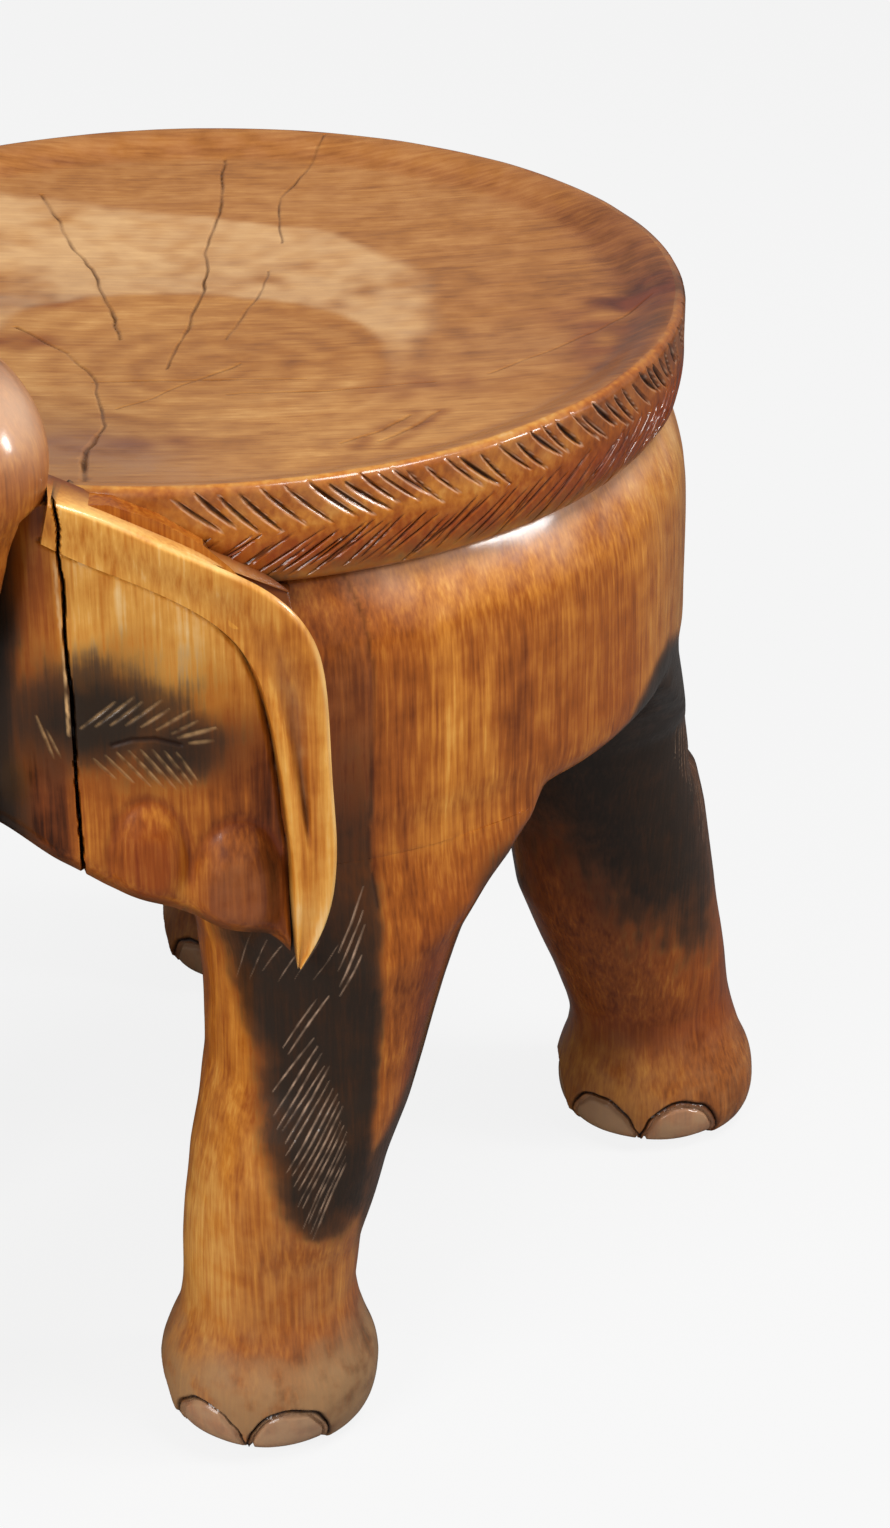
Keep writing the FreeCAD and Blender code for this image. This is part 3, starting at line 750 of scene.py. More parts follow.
def bandProfile():
    form = seatForm
    foot, waist, radius, rim = form["foot"], form["waist"], form["radius"], form["rim"]
    outer = [(foot, form["crease"])]
    for step in range(1, 18):
        angle = math.radians(90 * step / 17)
        height = waist - (waist - form["crease"]) * math.cos(angle)
        outer.append((foot + (radius - foot) * math.sin(angle), height))
    top = rim - form["rimRound"]
    for step in range(1, 20):
        outer.append((radius, waist + (top - waist) * step / 19))
    for step in range(1, 6):
        angle = math.radians(90 * step / 5)
        reach = form["rimRound"]
        outer.append((radius - reach + reach * math.cos(angle), top + reach * math.sin(angle)))
    for step in range(1, 8):
        inward = radius - reach - (radius - reach - form["join"]) * step / 7
        outer.append((inward, float(seatHeight(np.array(inward)))))
    inside = form["join"] - 6
    return outer + [(inside, outer[-1][1] - 4), (inside, form["crease"]), outer[0]]


seatLook = {
    # growth rings round the pith, the cream ring round them and the darker stains
    "pith": (40.0, -28.0), "away": (-0.6, 0.8),
    # edges of the gold heart and of the cream ring: turn round the pith and distance from it
    "goldEdge": [
        (-180, 100), (-120, 70), (-56, 54), (-24, 66), (4, 68), (43, 62), (90, 71), (121, 73), (157, 87),
        (180, 100),
    ],
    "creamEdge": [
        (-180, 185), (-140, 130), (-90, 80), (0, 64), (53, 76), (70, 94), (85, 113), (94, 124), (110, 142),
        (127, 152), (144, 172), (155, 200), (180, 200),
    ],
    # darker stains: middle, half length, half width and strength
    "blot": [
        (-40, -52, 26, 9, 0.4), (120, 0, 26, 12, 0.28), (66, -106, 30, 12, 0.3), (52, -118, 24, 8, 0.3),
        (141, 102, 26, 15, 0.6), (150, 60, 14, 30, 0.3), (-62, -18, 26, 8, 0.45),
    ],
    # dark marks across the grain: their line, half width and strength
    "marks": [([(136.5, -66), (130, -28)], 5.5, 0.34), ([(146.5, -62), (139, -22)], 4.6, 0.3)],
}


def seatLayers(spots):
    x, y, _ = spots.T
    pithX, pithY = seatLook["pith"]
    awayX, awayY = seatLook["away"]
    wander = 3.0 * smoothNoise(spots, 30.0, 12) + 1.2 * smoothNoise(spots, 8.0, 13)
    ring = np.hypot(x - pithX, y - pithY) + wander
    reach = np.hypot(x, y)
    depth = awayX * x + awayY * y
    turn = np.degrees(np.arctan2(y - pithY, x - pithX))
    goldEdge = ring - np.interp(turn, *np.array(seatLook["goldEdge"], float).T)
    creamEdge = ring - np.interp(turn, *np.array(seatLook["creamEdge"], float).T)
    gold = 1 - ramp(goldEdge, -3.5, 3)
    soft = 3 + 6 * ramp(x, -20, 70) + 5 * ramp(-x, 60, 110)
    cream = (1 - gold) * (1 - ramp(creamEdge, -soft, soft))
    cloudy = 0.8 + 0.7 * smoothNoise(spots, 26.0, 14) + 0.5 * smoothNoise(spots, 9.0, 25)
    cream = cream * ramp(depth, -62, 4) * cloudy
    tone = 0.03 * gold - 0.05 + 0.17 * np.clip(cream, 0, 1)
    tone += 0.06 * ramp(depth, 20, 120) + 0.12 * ramp(-depth, 30, 100) + 0.12 * gold * ramp(pithX - x, 0, 70)
    # darker on the lip, most where the dish turns up into the rim: painted shade
    tone -= (0.08 * bell((reach - 172) / 8, 0) + 0.08 * ramp(reach, 170, 182)) * (1 - ramp(depth, 30, 120))
    tone -= (0.04 * ramp(reach, 175, 182) + 0.12 * bell((reach - 172) / 3.5, 0)) * ramp(depth, 40, 110)
    tone -= 0.12 * ramp(0.8 * x + 0.6 * y, 120, 175) * ramp(reach, 150, 175)
    # a thin bright line along the front of the rim's top: a painted highlight
    tone += 0.22 * bell((reach - 187.5) / 1.4, 0) * ramp(-depth, -20, 60)
    tone -= 0.05 * bell(goldEdge / 2.2, 0) + 0.05 * bell((creamEdge - 2) / 3, 0)
    tone += 0.04 * np.sin(ring / 2.6) * (1 - ramp(ring, 62, 150))
    red = 0.1 * ramp(x * 0.8 + y * 0.6, 60, 165) + 0.12 * ramp(reach, 172, 180)
    red += 0.15 * bell((reach - 171) / 6, 0)
    for spotX, spotY, long, wide, strength in seatLook["blot"]:
        along = (x - spotX) * awayY - (y - spotY) * awayX
        across = (x - spotX) * awayX + (y - spotY) * awayY
        dab = bell(along / long, across / wide) * np.clip(0.6 + smoothNoise(spots, 11.0, 15), 0, 1)
        red += strength * dab
        tone -= 0.75 * strength * dab
    for line, halfWidth, strength in seatLook["marks"]:
        dab = lineField(x + 0.8 * wander, y, line, halfWidth)
        dab = dab * np.clip(0.6 + smoothNoise(spots, 8.0, 26), 0, 1)
        red += 0.6 * strength * dab
        tone -= strength * dab
    # a greyer patch at the front of the seat, behind the left forehead dome: painted shade
    grey = 0.8 * bell((x - 66) / 46, (y + 126) / 24) + 0.16 * ramp(depth, -150, -40) * (1 - gold)
    pale = 0.3 * np.clip(cream, 0, 1)
    onEdge = ramp(reach, 186.5, 189.0)
    tone -= 0.04 * onEdge
    red = red * (1 - onEdge) + 0.3 * onEdge
    grey = grey * (1 - onEdge)
    red += 0.1 * gold
    return {"tone": tone, "red": np.clip(red, 0, 0.7), "grey": np.clip(grey, 0, 0.6), "pale": pale}


def edgeStrokes(form, sense):
    strokes = []
    place = -math.pi * seatForm["radius"]
    while place < math.pi * seatForm["radius"]:
        place += random.uniform(*form["pitch"])
        size = random.uniform(0.65, 1.15)
        run = random.uniform(*form["run"])
        top = random.uniform(*form["top"])
        fall = random.uniform(*form["fall"])
        turn = math.degrees(place / seatForm["radius"])
        if abs(abs(turn) - 90) > seatForm["smoothTurn"] or turn > 0:
            strokes.append((place, top, place + sense * run, top - fall, size))
    return strokes


def makeSeatBand(material):
    form = seatForm
    mesh = meshOf(spun(bandProfile(), form["bandSteps"]), "band")
    spots = pointsOf(mesh)
    # the grid leans the way the cuts run, so that they come out clean
    above = spots[:, 2] - form["leanFrom"]
    turned = np.arctan2(spots[:, 1], spots[:, 0]) - np.where(above > 0, above, -1.24 * above) * form["lean"]
    away = np.hypot(spots[:, 0], spots[:, 1])
    spots = np.stack([away * np.cos(turned), away * np.sin(turned), spots[:, 2]], 1)
    movePoints(mesh, spots)
    x, y, z = spots.T
    away = np.hypot(x, y)
    around = np.arctan2(y, x) * form["radius"]
    bow = 0.4 * np.sin((z - 386) / 17 * math.pi)
    upper = cutField(around + bow, z, edgeStrokes(form["upper"], 1), 0.72, 2.6)
    lower = cutField(around - bow, z, edgeStrokes(form["lower"], -1), 0.6, 1.5)
    crackAt = [(-205.5, 405), (-203, 396), (-204.5, 388), (-202.5, 376), (-203, 364)]
    crack = lineField(around, z, crackAt, 1.3)
    onFace = ramp(away, 183.0, 184.6)
    worn = np.minimum(smoothNoise(spots, 22.0, 3) * 0.7, 0.1)
    sink = (1.5 * upper + 1.3 * lower + 4.0 * crack) * onFace
    outward = np.stack([x / away, y / away, 0 * z], 1)
    layers = seatLayers(spots)
    movePoints(mesh, spots + outward * (worn * onFace - sink)[:, None])
    deepest = np.maximum(0.9 * ramp(upper, 0.42, 0.7), 0.62 * ramp(lower, 0.3, 0.7))
    # dark in the cuts and the crack: painted shade
    layers["cut"] = np.clip(np.maximum(deepest, crack * 1.4), 0, 1) * onFace
    # pale on the shallow margins of the upper cuts: a painted highlight on their edges
    layers["pale"] = 0.5 * ramp(upper, 0.02, 0.2) * (1 - ramp(upper, 0.22, 0.42)) * onFace
    # darker below the band's waist, where it curves in to the crease: painted shade
    layers["burnAndShade"] = 0.3 * ramp(387 - z, 4, 20) * onFace
    layers["red"] = np.clip(layers["red"] + 0.4 * ramp(388 - z, 0, 10) * onFace, 0, 0.8)
    layers["tone"] = layers["tone"] + (0.06 + 0.12 * bell((z - 391) / 5, 0)) * onFace
    layers["grey"] = np.clip(layers["grey"] + 0.24 * ramp(z, 386, 394), 0, 0.6)
    paintLayers(mesh, layers)
    addPiece("seat_band", mesh, material, "seat")


checkLines = [
    # drying checks in the seat, as bent lines from the edge inwards, and how wide they gape
    ([(-93, 139), (-76, 116), (-62, 98), (-52, 80), (-40, 62), (-24, 44), (-12, 24), (4, -2),
      (24, -38)], 0.75),
    ([(-130, 67), (-108, 52), (-84, 34), (-66, 24), (-52, 12), (-30, -6), (-9, -25)], 0.8),
    ([(-69, 179), (-58, 150), (-50, 122), (-36, 104), (-22, 88)], 0.45),
    ([(-8, 62), (4, 42), (12, 22), (23, -2)], 0.4),
    ([(97, -178), (91, -168), (86, -160), (79, -146), (68, -133), (58, -121), (51, -107)], 1.5),
    ([(51, -107), (46, -98), (33, -85), (20, -72), (9, -61), (-3, -55), (-16, -48), (-48, -40)], 0.6),
    ([(38, -82), (41, -64), (40, -48), (44, -18)], 0.3),
    ([(131, 18), (136, 40), (140, 60), (144, 103)], 0.35),
    ([(128, -66), (132, -48), (131, -30)], 0.5),
    ([(139, -58), (140, -42), (138, -22)], 0.5),
    ([(60, -46), (88, -24), (118, 2)], 0.25),
    ([(12, -66), (50, -34), (74, -18)], 0.3),
]


def makeSeatDish(material):
    form = seatForm
    rings = form["dishRings"]
    reach = form["join"] + 0.2
    radii = [reach * step / rings for step in range(rings + 1)]
    profile = [(radius, float(seatHeight(np.array(radius)))) for radius in radii]
    profile += [(reach, 384.0), (0, 384.0)]
    bm = spun(profile, form["dishSteps"])
    spots = spotsOf(bm)
    near = np.zeros(len(spots))
    for line, _ in checkLines:
        near = np.maximum(near, lineField(spots[:, 0], spots[:, 1], line, 3.4))
    refine(bm, (near > 0) & (spots[:, 2] > form["centre"] - 2), 2)
    mesh = meshOf(bm, "dish")
    spots = pointsOf(mesh)
    x, y, z = spots.T
    crack = np.zeros(len(x))
    sink = np.zeros(len(x))
    wanderX = 1.2 * smoothNoise(spots, 11.0, 5)
    wanderY = 1.2 * smoothNoise(spots, 11.0, 21)
    uneven = np.clip(0.75 + 0.6 * smoothNoise(spots, 13.0, 16), 0.25, 1.2)
    for line, width in checkLines:
        near = lineField(x + wanderX, y + wanderY, line, 0.5 + 0.6 * width)
        crack = np.maximum(crack, near * min(1.0, 0.5 + 0.5 * width) * uneven)
        sink = np.maximum(sink, near * 1.4 * width * uneven)
    onTop = z > form["centre"] - 1
    ripple = np.minimum(smoothNoise(spots, 38.0, 4) * 0.5, 0.3) * (1 - ramp(np.hypot(x, y), 160, 172))
    layers = seatLayers(spots)
    spots[:, 2] += np.where(onTop, ripple - sink, 0)
    movePoints(mesh, spots)
    # dark in the drying checks: painted shade
    layers["cut"] = np.clip(crack, 0, 0.92) * onTop
    paintLayers(mesh, layers)
    addPiece("seat_dish", mesh, material, "seat")


# Head: one carved sheet round both cheeks, closed on to the body behind
cheekTurn = math.radians(46.5)
cheekAlong = np.array((math.sin(cheekTurn), math.cos(cheekTurn), 0.0))
cheekOut = np.array((math.cos(cheekTurn), -math.sin(cheekTurn), 0.0))

headForm = {
    "reach": 196.0, "backAlong": 20.6, "frontAlong": -79.6, "frontDrop": 9.0, "underBand": 188.6,
    "columnStep": 0.95, "rows": 190, "frontColumns": 50,
    # jaw line as distance along the cheek and height
    "jaw": [
        (23, 220), (18, 228), (11, 234), (2.6, 235.5), (-6, 237.4), (-17, 243), (-25, 247.4), (-39, 252.5),
        (-52, 262), (-66, 271), (-79.6, 279),
    ],
    "crown": [(-56, 403.8), (-36, 402.6), (-20, 396), (-5, 386), (4, 377), (12, 367), (20.6, 358)],
}

earForm = {
    # outer edge and inner groove as distance along the cheek and height
    "outer": [
        (-56, 408.5), (-52, 407.5), (-36, 400), (-20, 390.7), (-2, 381.5), (12, 374), (22, 366), (29, 357),
        (33.5, 346), (35.3, 329), (36, 298), (37.4, 271), (35.8, 251), (31, 235), (23.2, 223.6),
    ],
    "inner": [
        (-59.4, 391), (-48, 383.6), (-30, 375), (-15, 366.7), (-2, 357), (6, 347.3), (11.7, 333.6),
        (15.9, 312), (18, 292.6), (20.3, 268.7), (20.5, 248.7), (21.9, 224.2),
    ],
    "proud": 204.0, "inside": 196.4, "columns": 320, "rows": 40,
}


def resampled(line, count):
    table = np.array(line, float)
    lengths = np.concatenate([[0], np.cumsum(np.hypot(*np.diff(table, axis=0).T))])
    places = np.linspace(0, lengths[-1], count)
    points = np.stack([np.interp(places, lengths, table[:, 0]), np.interp(places, lengths, table[:, 1])], 1)
    for _ in range(count // 4):
        points[1:-1] = (points[:-2] + points[2:]) / 2
    return points


def lashStrokes():
    strokes = []
    count = 7
    for step in range(count):
        share = step / (count - 1)
        start = (-49.5 + 31.0 * share, 320.5 + 2.4 * math.sin(3.1 * share) - 4.0 * share)
        angle = math.radians(37 - 13 * share ** 2)
        length = 15.5 - 5.5 * share + (2.5 if step % 2 else 0)
        end = (start[0] + length * math.cos(angle), start[1] + length * math.sin(angle))
        strokes.append((*start, *end, 0.85))
    strokes.append((-16.4, 314.9, -3.2, 317.6, 1.15))
    strokes.append((-12.5, 312.4, -4.2, 312.8, 1.0))
    count = 8
    for step in range(count):
        share = step / (count - 1)
        start = (-45.5 + 28.5 * share, 308.6 + 2.6 * math.sin(3.0 * share))
        angle = math.radians(-50 - 10 * share)
        length = 11.0 + 9.5 * math.sin(2.9 * share)
        end = (start[0] + length * math.cos(angle), start[1] + length * math.sin(angle))
        strokes.append((*start, *end, 0.95))
    strokes += [(-64.1, 325.2, -59.0, 309.5, 0.9), (-61.0, 320.5, -56.5, 309.3, 0.7)]
    return strokes


crackForm = {
    # the check down the left cheek, with the pale fibres torn open at its left
    "line": [
        (-54.6, 409), (-53.0, 398), (-53.8, 386), (-52.4, 372), (-53.0, 352), (-51.6, 330), (-51.8, 300),
        (-51.0, 258),
    ],
    "fibres": [(-55.0, 396), (-54.8, 372), (-53.6, 345), (-53.6, 318)],
    "halfWidth": 0.72, "depth": 5.0,
}


def cheekRelief(spots, along, height, isLeft):
    # how proud of the cheek's plane each point stands, and its colours
    jaw = resampled(headForm["jaw"][::-1], 160)
    above = height - np.interp(along, jaw[:, 0], jaw[:, 1])
    proud = 1.5 * bell((along + 30) / 27, (height - 316) / 14)
    leftRound = np.hypot((along + 28) / 14, (height - 266) / 24)
    rightRound = np.hypot((along - 3) / 17, (height - 252) / 28)
    leftBulge = 1 - ramp(leftRound, 0.35, 1.05)
    rightBulge = 1 - ramp(rightRound, 0.4, 1.05)
    rims = (bell((leftRound - 1) / 0.12, 0) + bell((rightRound - 1) / 0.1, 0)) * ramp(height, 250, 268)
    ridge = bell((along + 14) / 5, (height - 262) / 26)
    flute = bell((along - 15) / 5, (height - 285) / 45)
    proud += 3.6 * leftBulge + 4.8 * rightBulge - 1.2 * ridge - 1.8 * flute - 0.8 * rims
    proud -= 5.0 * (1 - ramp(above, -1, 12)) ** 2
    proud -= 9.0 * (1 - ramp(along, -82, -58))
    groove = lineField(along, height, earForm["inner"], 1.7)
    slit = lineField(along, height, [(-39, 313.4), (-32, 315.2), (-24, 315), (-15.5, 311.8)], 1.4)
    lashes = cutField(along, height, lashStrokes(), 0.8, 1.3)
    proud -= 0.9 * slit + 0.75 * lashes + 2.0 * groove
    wobble = smoothNoise(spots, 15.0, 17)
    burnAndShade = 1.08 * bell((along + 44 + 4 * wobble) / 35, (height - 325 + 4 * wobble) / 22)
    burnAndShade = np.maximum(burnAndShade, 0.92 * bell((along + 16 + 4 * wobble) / 24, (height - 311 + 3 * wobble) / 16))
    # darker towards the cheek's front edge by the trunk: painted shade of the recess between cheek and trunk
    burnAndShade = np.maximum(burnAndShade, 1.1 * (1 - ramp(along + 2 * wobble, -78, -62)))
    burnAndShade = np.maximum(burnAndShade, 0.45 * (1 - ramp(above, 0, 7)))
    tone = -0.05 + 0.35 * ramp(height, 292, 345) + 0.06 * bell((along + 8) / 30, (height - 350) / 26)
    tone += 0.07 * ridge - 0.14 * flute - 0.07 * rims - 0.05 * leftBulge - 0.02 * rightBulge
    # painted shade of the same recess by the trunk
    tone -= 0.3 * (1 - ramp(along, -60, -50))
    ear = np.array(earForm["outer"], float)
    ledge = ramp(height - np.interp(along, ear[:, 0], ear[:, 1]), -4, 1)
    tone -= 0.26 * ledge
    red = 0.5 * leftBulge + 0.36 * rightBulge + 0.3 * rims + 0.3 * ledge
    red += 0.3 * bell((along + 62) / 9, (height - 375) / 30)
    red += 0.25 * bell((along - 2) / 24, (height - 246) / 10)
    layers = {
        "tone": tone, "red": np.clip(red, 0, 0.7), "grey": 0.2 * rightBulge, "burnAndShade": burnAndShade,
        # dark in the eye slit and the groove by the ear: painted shade
        "cut": np.maximum(0.9 * slit, 0.8 * ramp(groove, 0.4, 0.8)),
        "pale": np.clip(lashes * 1.2, 0, 1) * 0.5 * np.clip(0.7 + smoothNoise(spots, 3.0, 18), 0, 1),
    }
    if isLeft:
        wander = 0.35 * smoothNoise(spots, 4.0, 19)
        gap = lineField(along + wander, height, crackForm["line"], crackForm["halfWidth"])
        proud -= crackForm["depth"] * np.clip(gap * 1.6, 0, 1)
        fibres = lineField(along + 0.3 * smoothNoise(spots, 3.0, 20), height, crackForm["fibres"], 0.7)
        # dark in the crack: painted shade
        layers["cut"] = np.maximum(layers["cut"], ramp(gap, 0.1, 0.5))
        torn = np.clip(0.5 + smoothNoise(spots, 6.0, 24), 0, 1)
        layers["pale"] = np.maximum(layers["pale"], np.clip(fibres * 1.4, 0, 0.9) * torn)
    return proud, layers


def onCheek(along, height, out):
    x = cheekAlong[0] * along + cheekOut[0] * out
    y = cheekAlong[1] * along + cheekOut[1] * out
    return np.stack([x, y, height], 1)


def drawIn(bm, edges, placed):
    # run a rim of edges on to where placed puts it
    verts, edges = drawOut(bm, edges)
    for vert in verts:
        vert.co = placed(vert.co)
    return edges


def makeHead(material):
    form = headForm
    cheekColumns = int((form["backAlong"] - form["frontAlong"]) / form["columnStep"])
    frontColumns = form["frontColumns"]
    columns = 2 * cheekColumns + frontColumns
    bm, column, share = gridSheet(columns, form["rows"])
    column = column * columns
    jaw = resampled(form["jaw"][::-1], 160)
    crown = np.array(form["crown"], float)
    isLeft = column <= cheekColumns + 0.01
    isRight = column >= cheekColumns + frontColumns - 0.01
    fromBack = np.where(isLeft, column, columns - column) * form["columnStep"]
    along = np.maximum(form["backAlong"] - fromBack, form["frontAlong"])
    low = np.interp(along, jaw[:, 0], jaw[:, 1])
    high = np.interp(along, crown[:, 0], crown[:, 1])
    high = np.where(isLeft | isRight, high, seatForm["rim"])
    height = low + (high - low) * share
    flat = onCheek(along, height, np.full(len(along), form["reach"]))
    corner = form["reach"] - form["frontDrop"]
    edge = onCheek(np.array([form["frontAlong"]]), np.array([0.0]), np.array([corner]))[0]
    acrossFront = (column - cheekColumns) / frontColumns
    isFront = ~(isLeft | isRight)
    flat[:, 0] = np.where(isRight, -flat[:, 0], flat[:, 0])
    flat[:, 0] = np.where(isFront, edge[0] * (1 - 2 * acrossFront), flat[:, 0])
    flat[:, 1] = np.where(isFront, edge[1], flat[:, 1])
    placeAll(bm, flat)
    fine = (along > -68) & (along < 2) & (height > 288) & (height < 336) & ~isFront
    fine |= (np.abs(along + 53) < 3.5) & isLeft
    refine(bm, fine, 1)
    mesh = meshOf(bm, "head")
    spots = pointsOf(mesh)
    side = np.where(spots[:, 0] > 0, 1.0, -1.0)
    plan = spots * np.stack([side, 1 + 0 * side, 1 + 0 * side], 1)
    along, height = plan @ cheekAlong, plan[:, 2]
    outer = plan @ cheekOut > form["reach"] - 2
    proudL, left = cheekRelief(spots, along, height, True)
    proudR, right = cheekRelief(spots, along, height, False)
    proud = np.where(side > 0, proudL, proudR) * outer
    direction = np.stack([side * cheekOut[0], 0 * side + cheekOut[1], 0 * side], 1)
    movePoints(mesh, spots + direction * proud[:, None])
    # points off the cheeks, such as the head's front behind the trunk, are painted fully burnt: painted shade
    for layer in left:
        inner = 1.0 if layer == "burnAndShade" else 0.0
        paintLayer(mesh, layer, np.where(outer, np.where(side > 0, left[layer], right[layer]), inner))
    bm = bmeshOf(mesh)
    rim = [edge for edge in bm.edges if edge.is_boundary]
    lift = {edge: abs(edge.verts[0].co.z - edge.verts[1].co.z) for edge in rim}
    flatRim = [edge for edge in rim if lift[edge] < 0.6 * edge.calc_length()]
    crown = [edge for edge in flatRim if edge.verts[0].co.z > 345]
    base = [edge for edge in flatRim if edge.verts[0].co.z <= 345]

    def underBand(spot):
        share = form["underBand"] / math.hypot(spot.x, spot.y)
        return Vector((spot.x * share, spot.y * share, spot.z - 0.5))

    back, top = bodyForm["flatFront"], bodyForm["profile"][-1][1]
    crown = drawIn(bm, crown, underBand)
    crown = drawIn(bm, crown, lambda spot: Vector((spot.x, spot.y, top)))
    drawIn(bm, crown, lambda spot: Vector((spot.x, back, top)))
    drawIn(bm, base, lambda spot: Vector((spot.x, back, spot.z)))
    bmesh.ops.remove_doubles(bm, verts=bm.verts, dist=0.01)
    bmesh.ops.holes_fill(bm, edges=[edge for edge in bm.edges if edge.is_boundary])
    bmesh.ops.recalc_face_normals(bm, faces=bm.faces)
    addPiece("head_block", meshOf(bm, "head"), material, "head")


def makeEar(side, material):
    form = earForm
    bm, lengthwise, share = gridSheet(form["columns"], form["rows"])
    outer = resampled(form["outer"], form["columns"] + 1)
    inner = resampled(form["inner"], form["columns"] + 1)
    column = np.rint(lengthwise * form["columns"]).astype(int)
    flat = outer[column] * (1 - share)[:, None] + inner[column] * share[:, None]
    along, height = flat.T
    lower = ramp(352 - height, 0, 40)
    edge = 1 - ramp(share, 0, 0.09)
    groove = ramp(share, 0.93, 1.0)
    ridge = bell((share - 0.84) / 0.09, 0)
    narrow = 0.05 + 0.17 * ramp(height, 270, 345)
    flute = bell((share - 0.56) / narrow, 0) * ramp(height, 268, 286) * (1 - ramp(height, 335, 362))
    out = form["proud"] - 1.6 * edge ** 2 - 2.4 * (1 - lower) * ramp(share, 0.1, 0.95)
    out += lower * (-1.2 * ramp(share, 0.12, 0.45) - 2.6 * flute + 1.3 * ridge)
    out -= (form["proud"] - form["inside"]) * groove
    plan = onCheek(along, height, out)
    tone = 0.27 - 0.04 * lower + lower * (0.12 * bell((share - 0.14) / 0.12, 0) - 0.24 * flute + 0.12 * ridge)
    tone += 0.14 * ramp(268 - height, 0, 30) - 0.05 * bell((height - 345) / 14, 0)
    # pale along the ear's outer edge: a painted highlight
    pale = 0.75 * bell((share - 0.02) / 0.045, 0) * np.clip(0.6 + 0.7 * smoothNoise(plan, 14.0, 22), 0.1, 1)
    # dark in the inner groove and the flute's lower end: painted shade
    cut = np.clip(0.75 * ramp(share, 0.965, 0.99) + 0.3 * flute * (1 - ramp(height, 285, 305)), 0, 1)
    if side > 0:
        gap = lineField(along, height, crackForm["line"], crackForm["halfWidth"])
        out = out - crackForm["depth"] * np.clip(gap * 1.6, 0, 1)
        # dark in the crack: painted shade
        cut = np.maximum(cut, ramp(gap, 0.1, 0.5))
        plan = onCheek(along, height, out)
    plan = np.where((share > 0.999)[:, None], onCheek(along, height, out * 0 + 193.0), plan)
    depth = np.where(height > 362, np.sqrt(188.4 ** 2 - along ** 2), 152.0)
    behind = onCheek(along, height, np.minimum(depth, out - 2))
    placeAll(bm, plan)
    count = len(bm.verts)
    bmesh.ops.extrude_face_region(bm, geom=bm.faces[:])
    # the points drawn out come after the others, in the same order, and are the back
    placeAll(bm, np.concatenate([plan, behind]))
    if side < 0:
        bmesh.ops.scale(bm, vec=(-1, 1, 1), verts=bm.verts)
    bmesh.ops.recalc_face_normals(bm, faces=bm.faces)
    mesh = meshOf(bm, "ear")
    none = np.zeros(count)
    red = 0.25 * bell((share - 0.5) / 0.3, (height - 370) / 16)
    red += 0.12 * lower * bell((share - 0.35) / 0.12, 0)
    # the ear's back, against the body, is painted darker, redder and part burnt: painted shade
    for layer, values, hidden in (
        ("tone", tone, -0.1), ("pale", pale, 0.0), ("cut", cut, 0.0), ("red", red, 0.5), ("burnAndShade", none, 0.35),
        ("grey", 0.4 * flute + 0.25 * ramp(262 - height, 0, 24), 0.0),
    ):
        paintLayer(mesh, layer, np.concatenate([values, np.full(len(mesh.vertices) - count, hidden)]))
    name = "left_ear" if side > 0 else "right_ear"
    addPiece(name + "_carved", mesh, material, name)


# Trunk with the two forehead domes, tusks and tail
trunkForm = {
    "stations": [
        (204, 452, 0, 38, 15), (203, 443, 0, 64, 27), (202, 430, 0, 84, 36), (202, 413, 0, 93, 41),
        (205, 390, 0, 92, 45), (208, 368, 0, 86, 47), (211, 345, 0, 76, 48), (214, 322, 3, 61, 47),
        (219, 298, 6, 50, 45), (227, 266, 8, 46, 41), (240, 215, 9, 43, 37), (252, 160, 7, 39, 32),
        (261, 118, 5, 35, 28),
    ],
    "curlHeight": 90.0, "curlForward": 294.0, "curlRadius": 30.0, "curlTurn": 190.0, "curlRings": 14,
    "curlStart": (32.0, 25.0), "curlEnd": (16.0, 10.0),
    "domeAt": (44.0, -197.0, 417.0), "domeHalf": (55.0, 43.0, 45.0),
    "voxel": 2.2, "back": -197.2, "front": -333.3, "top": 461.4, "overSeat": 404.6,
}


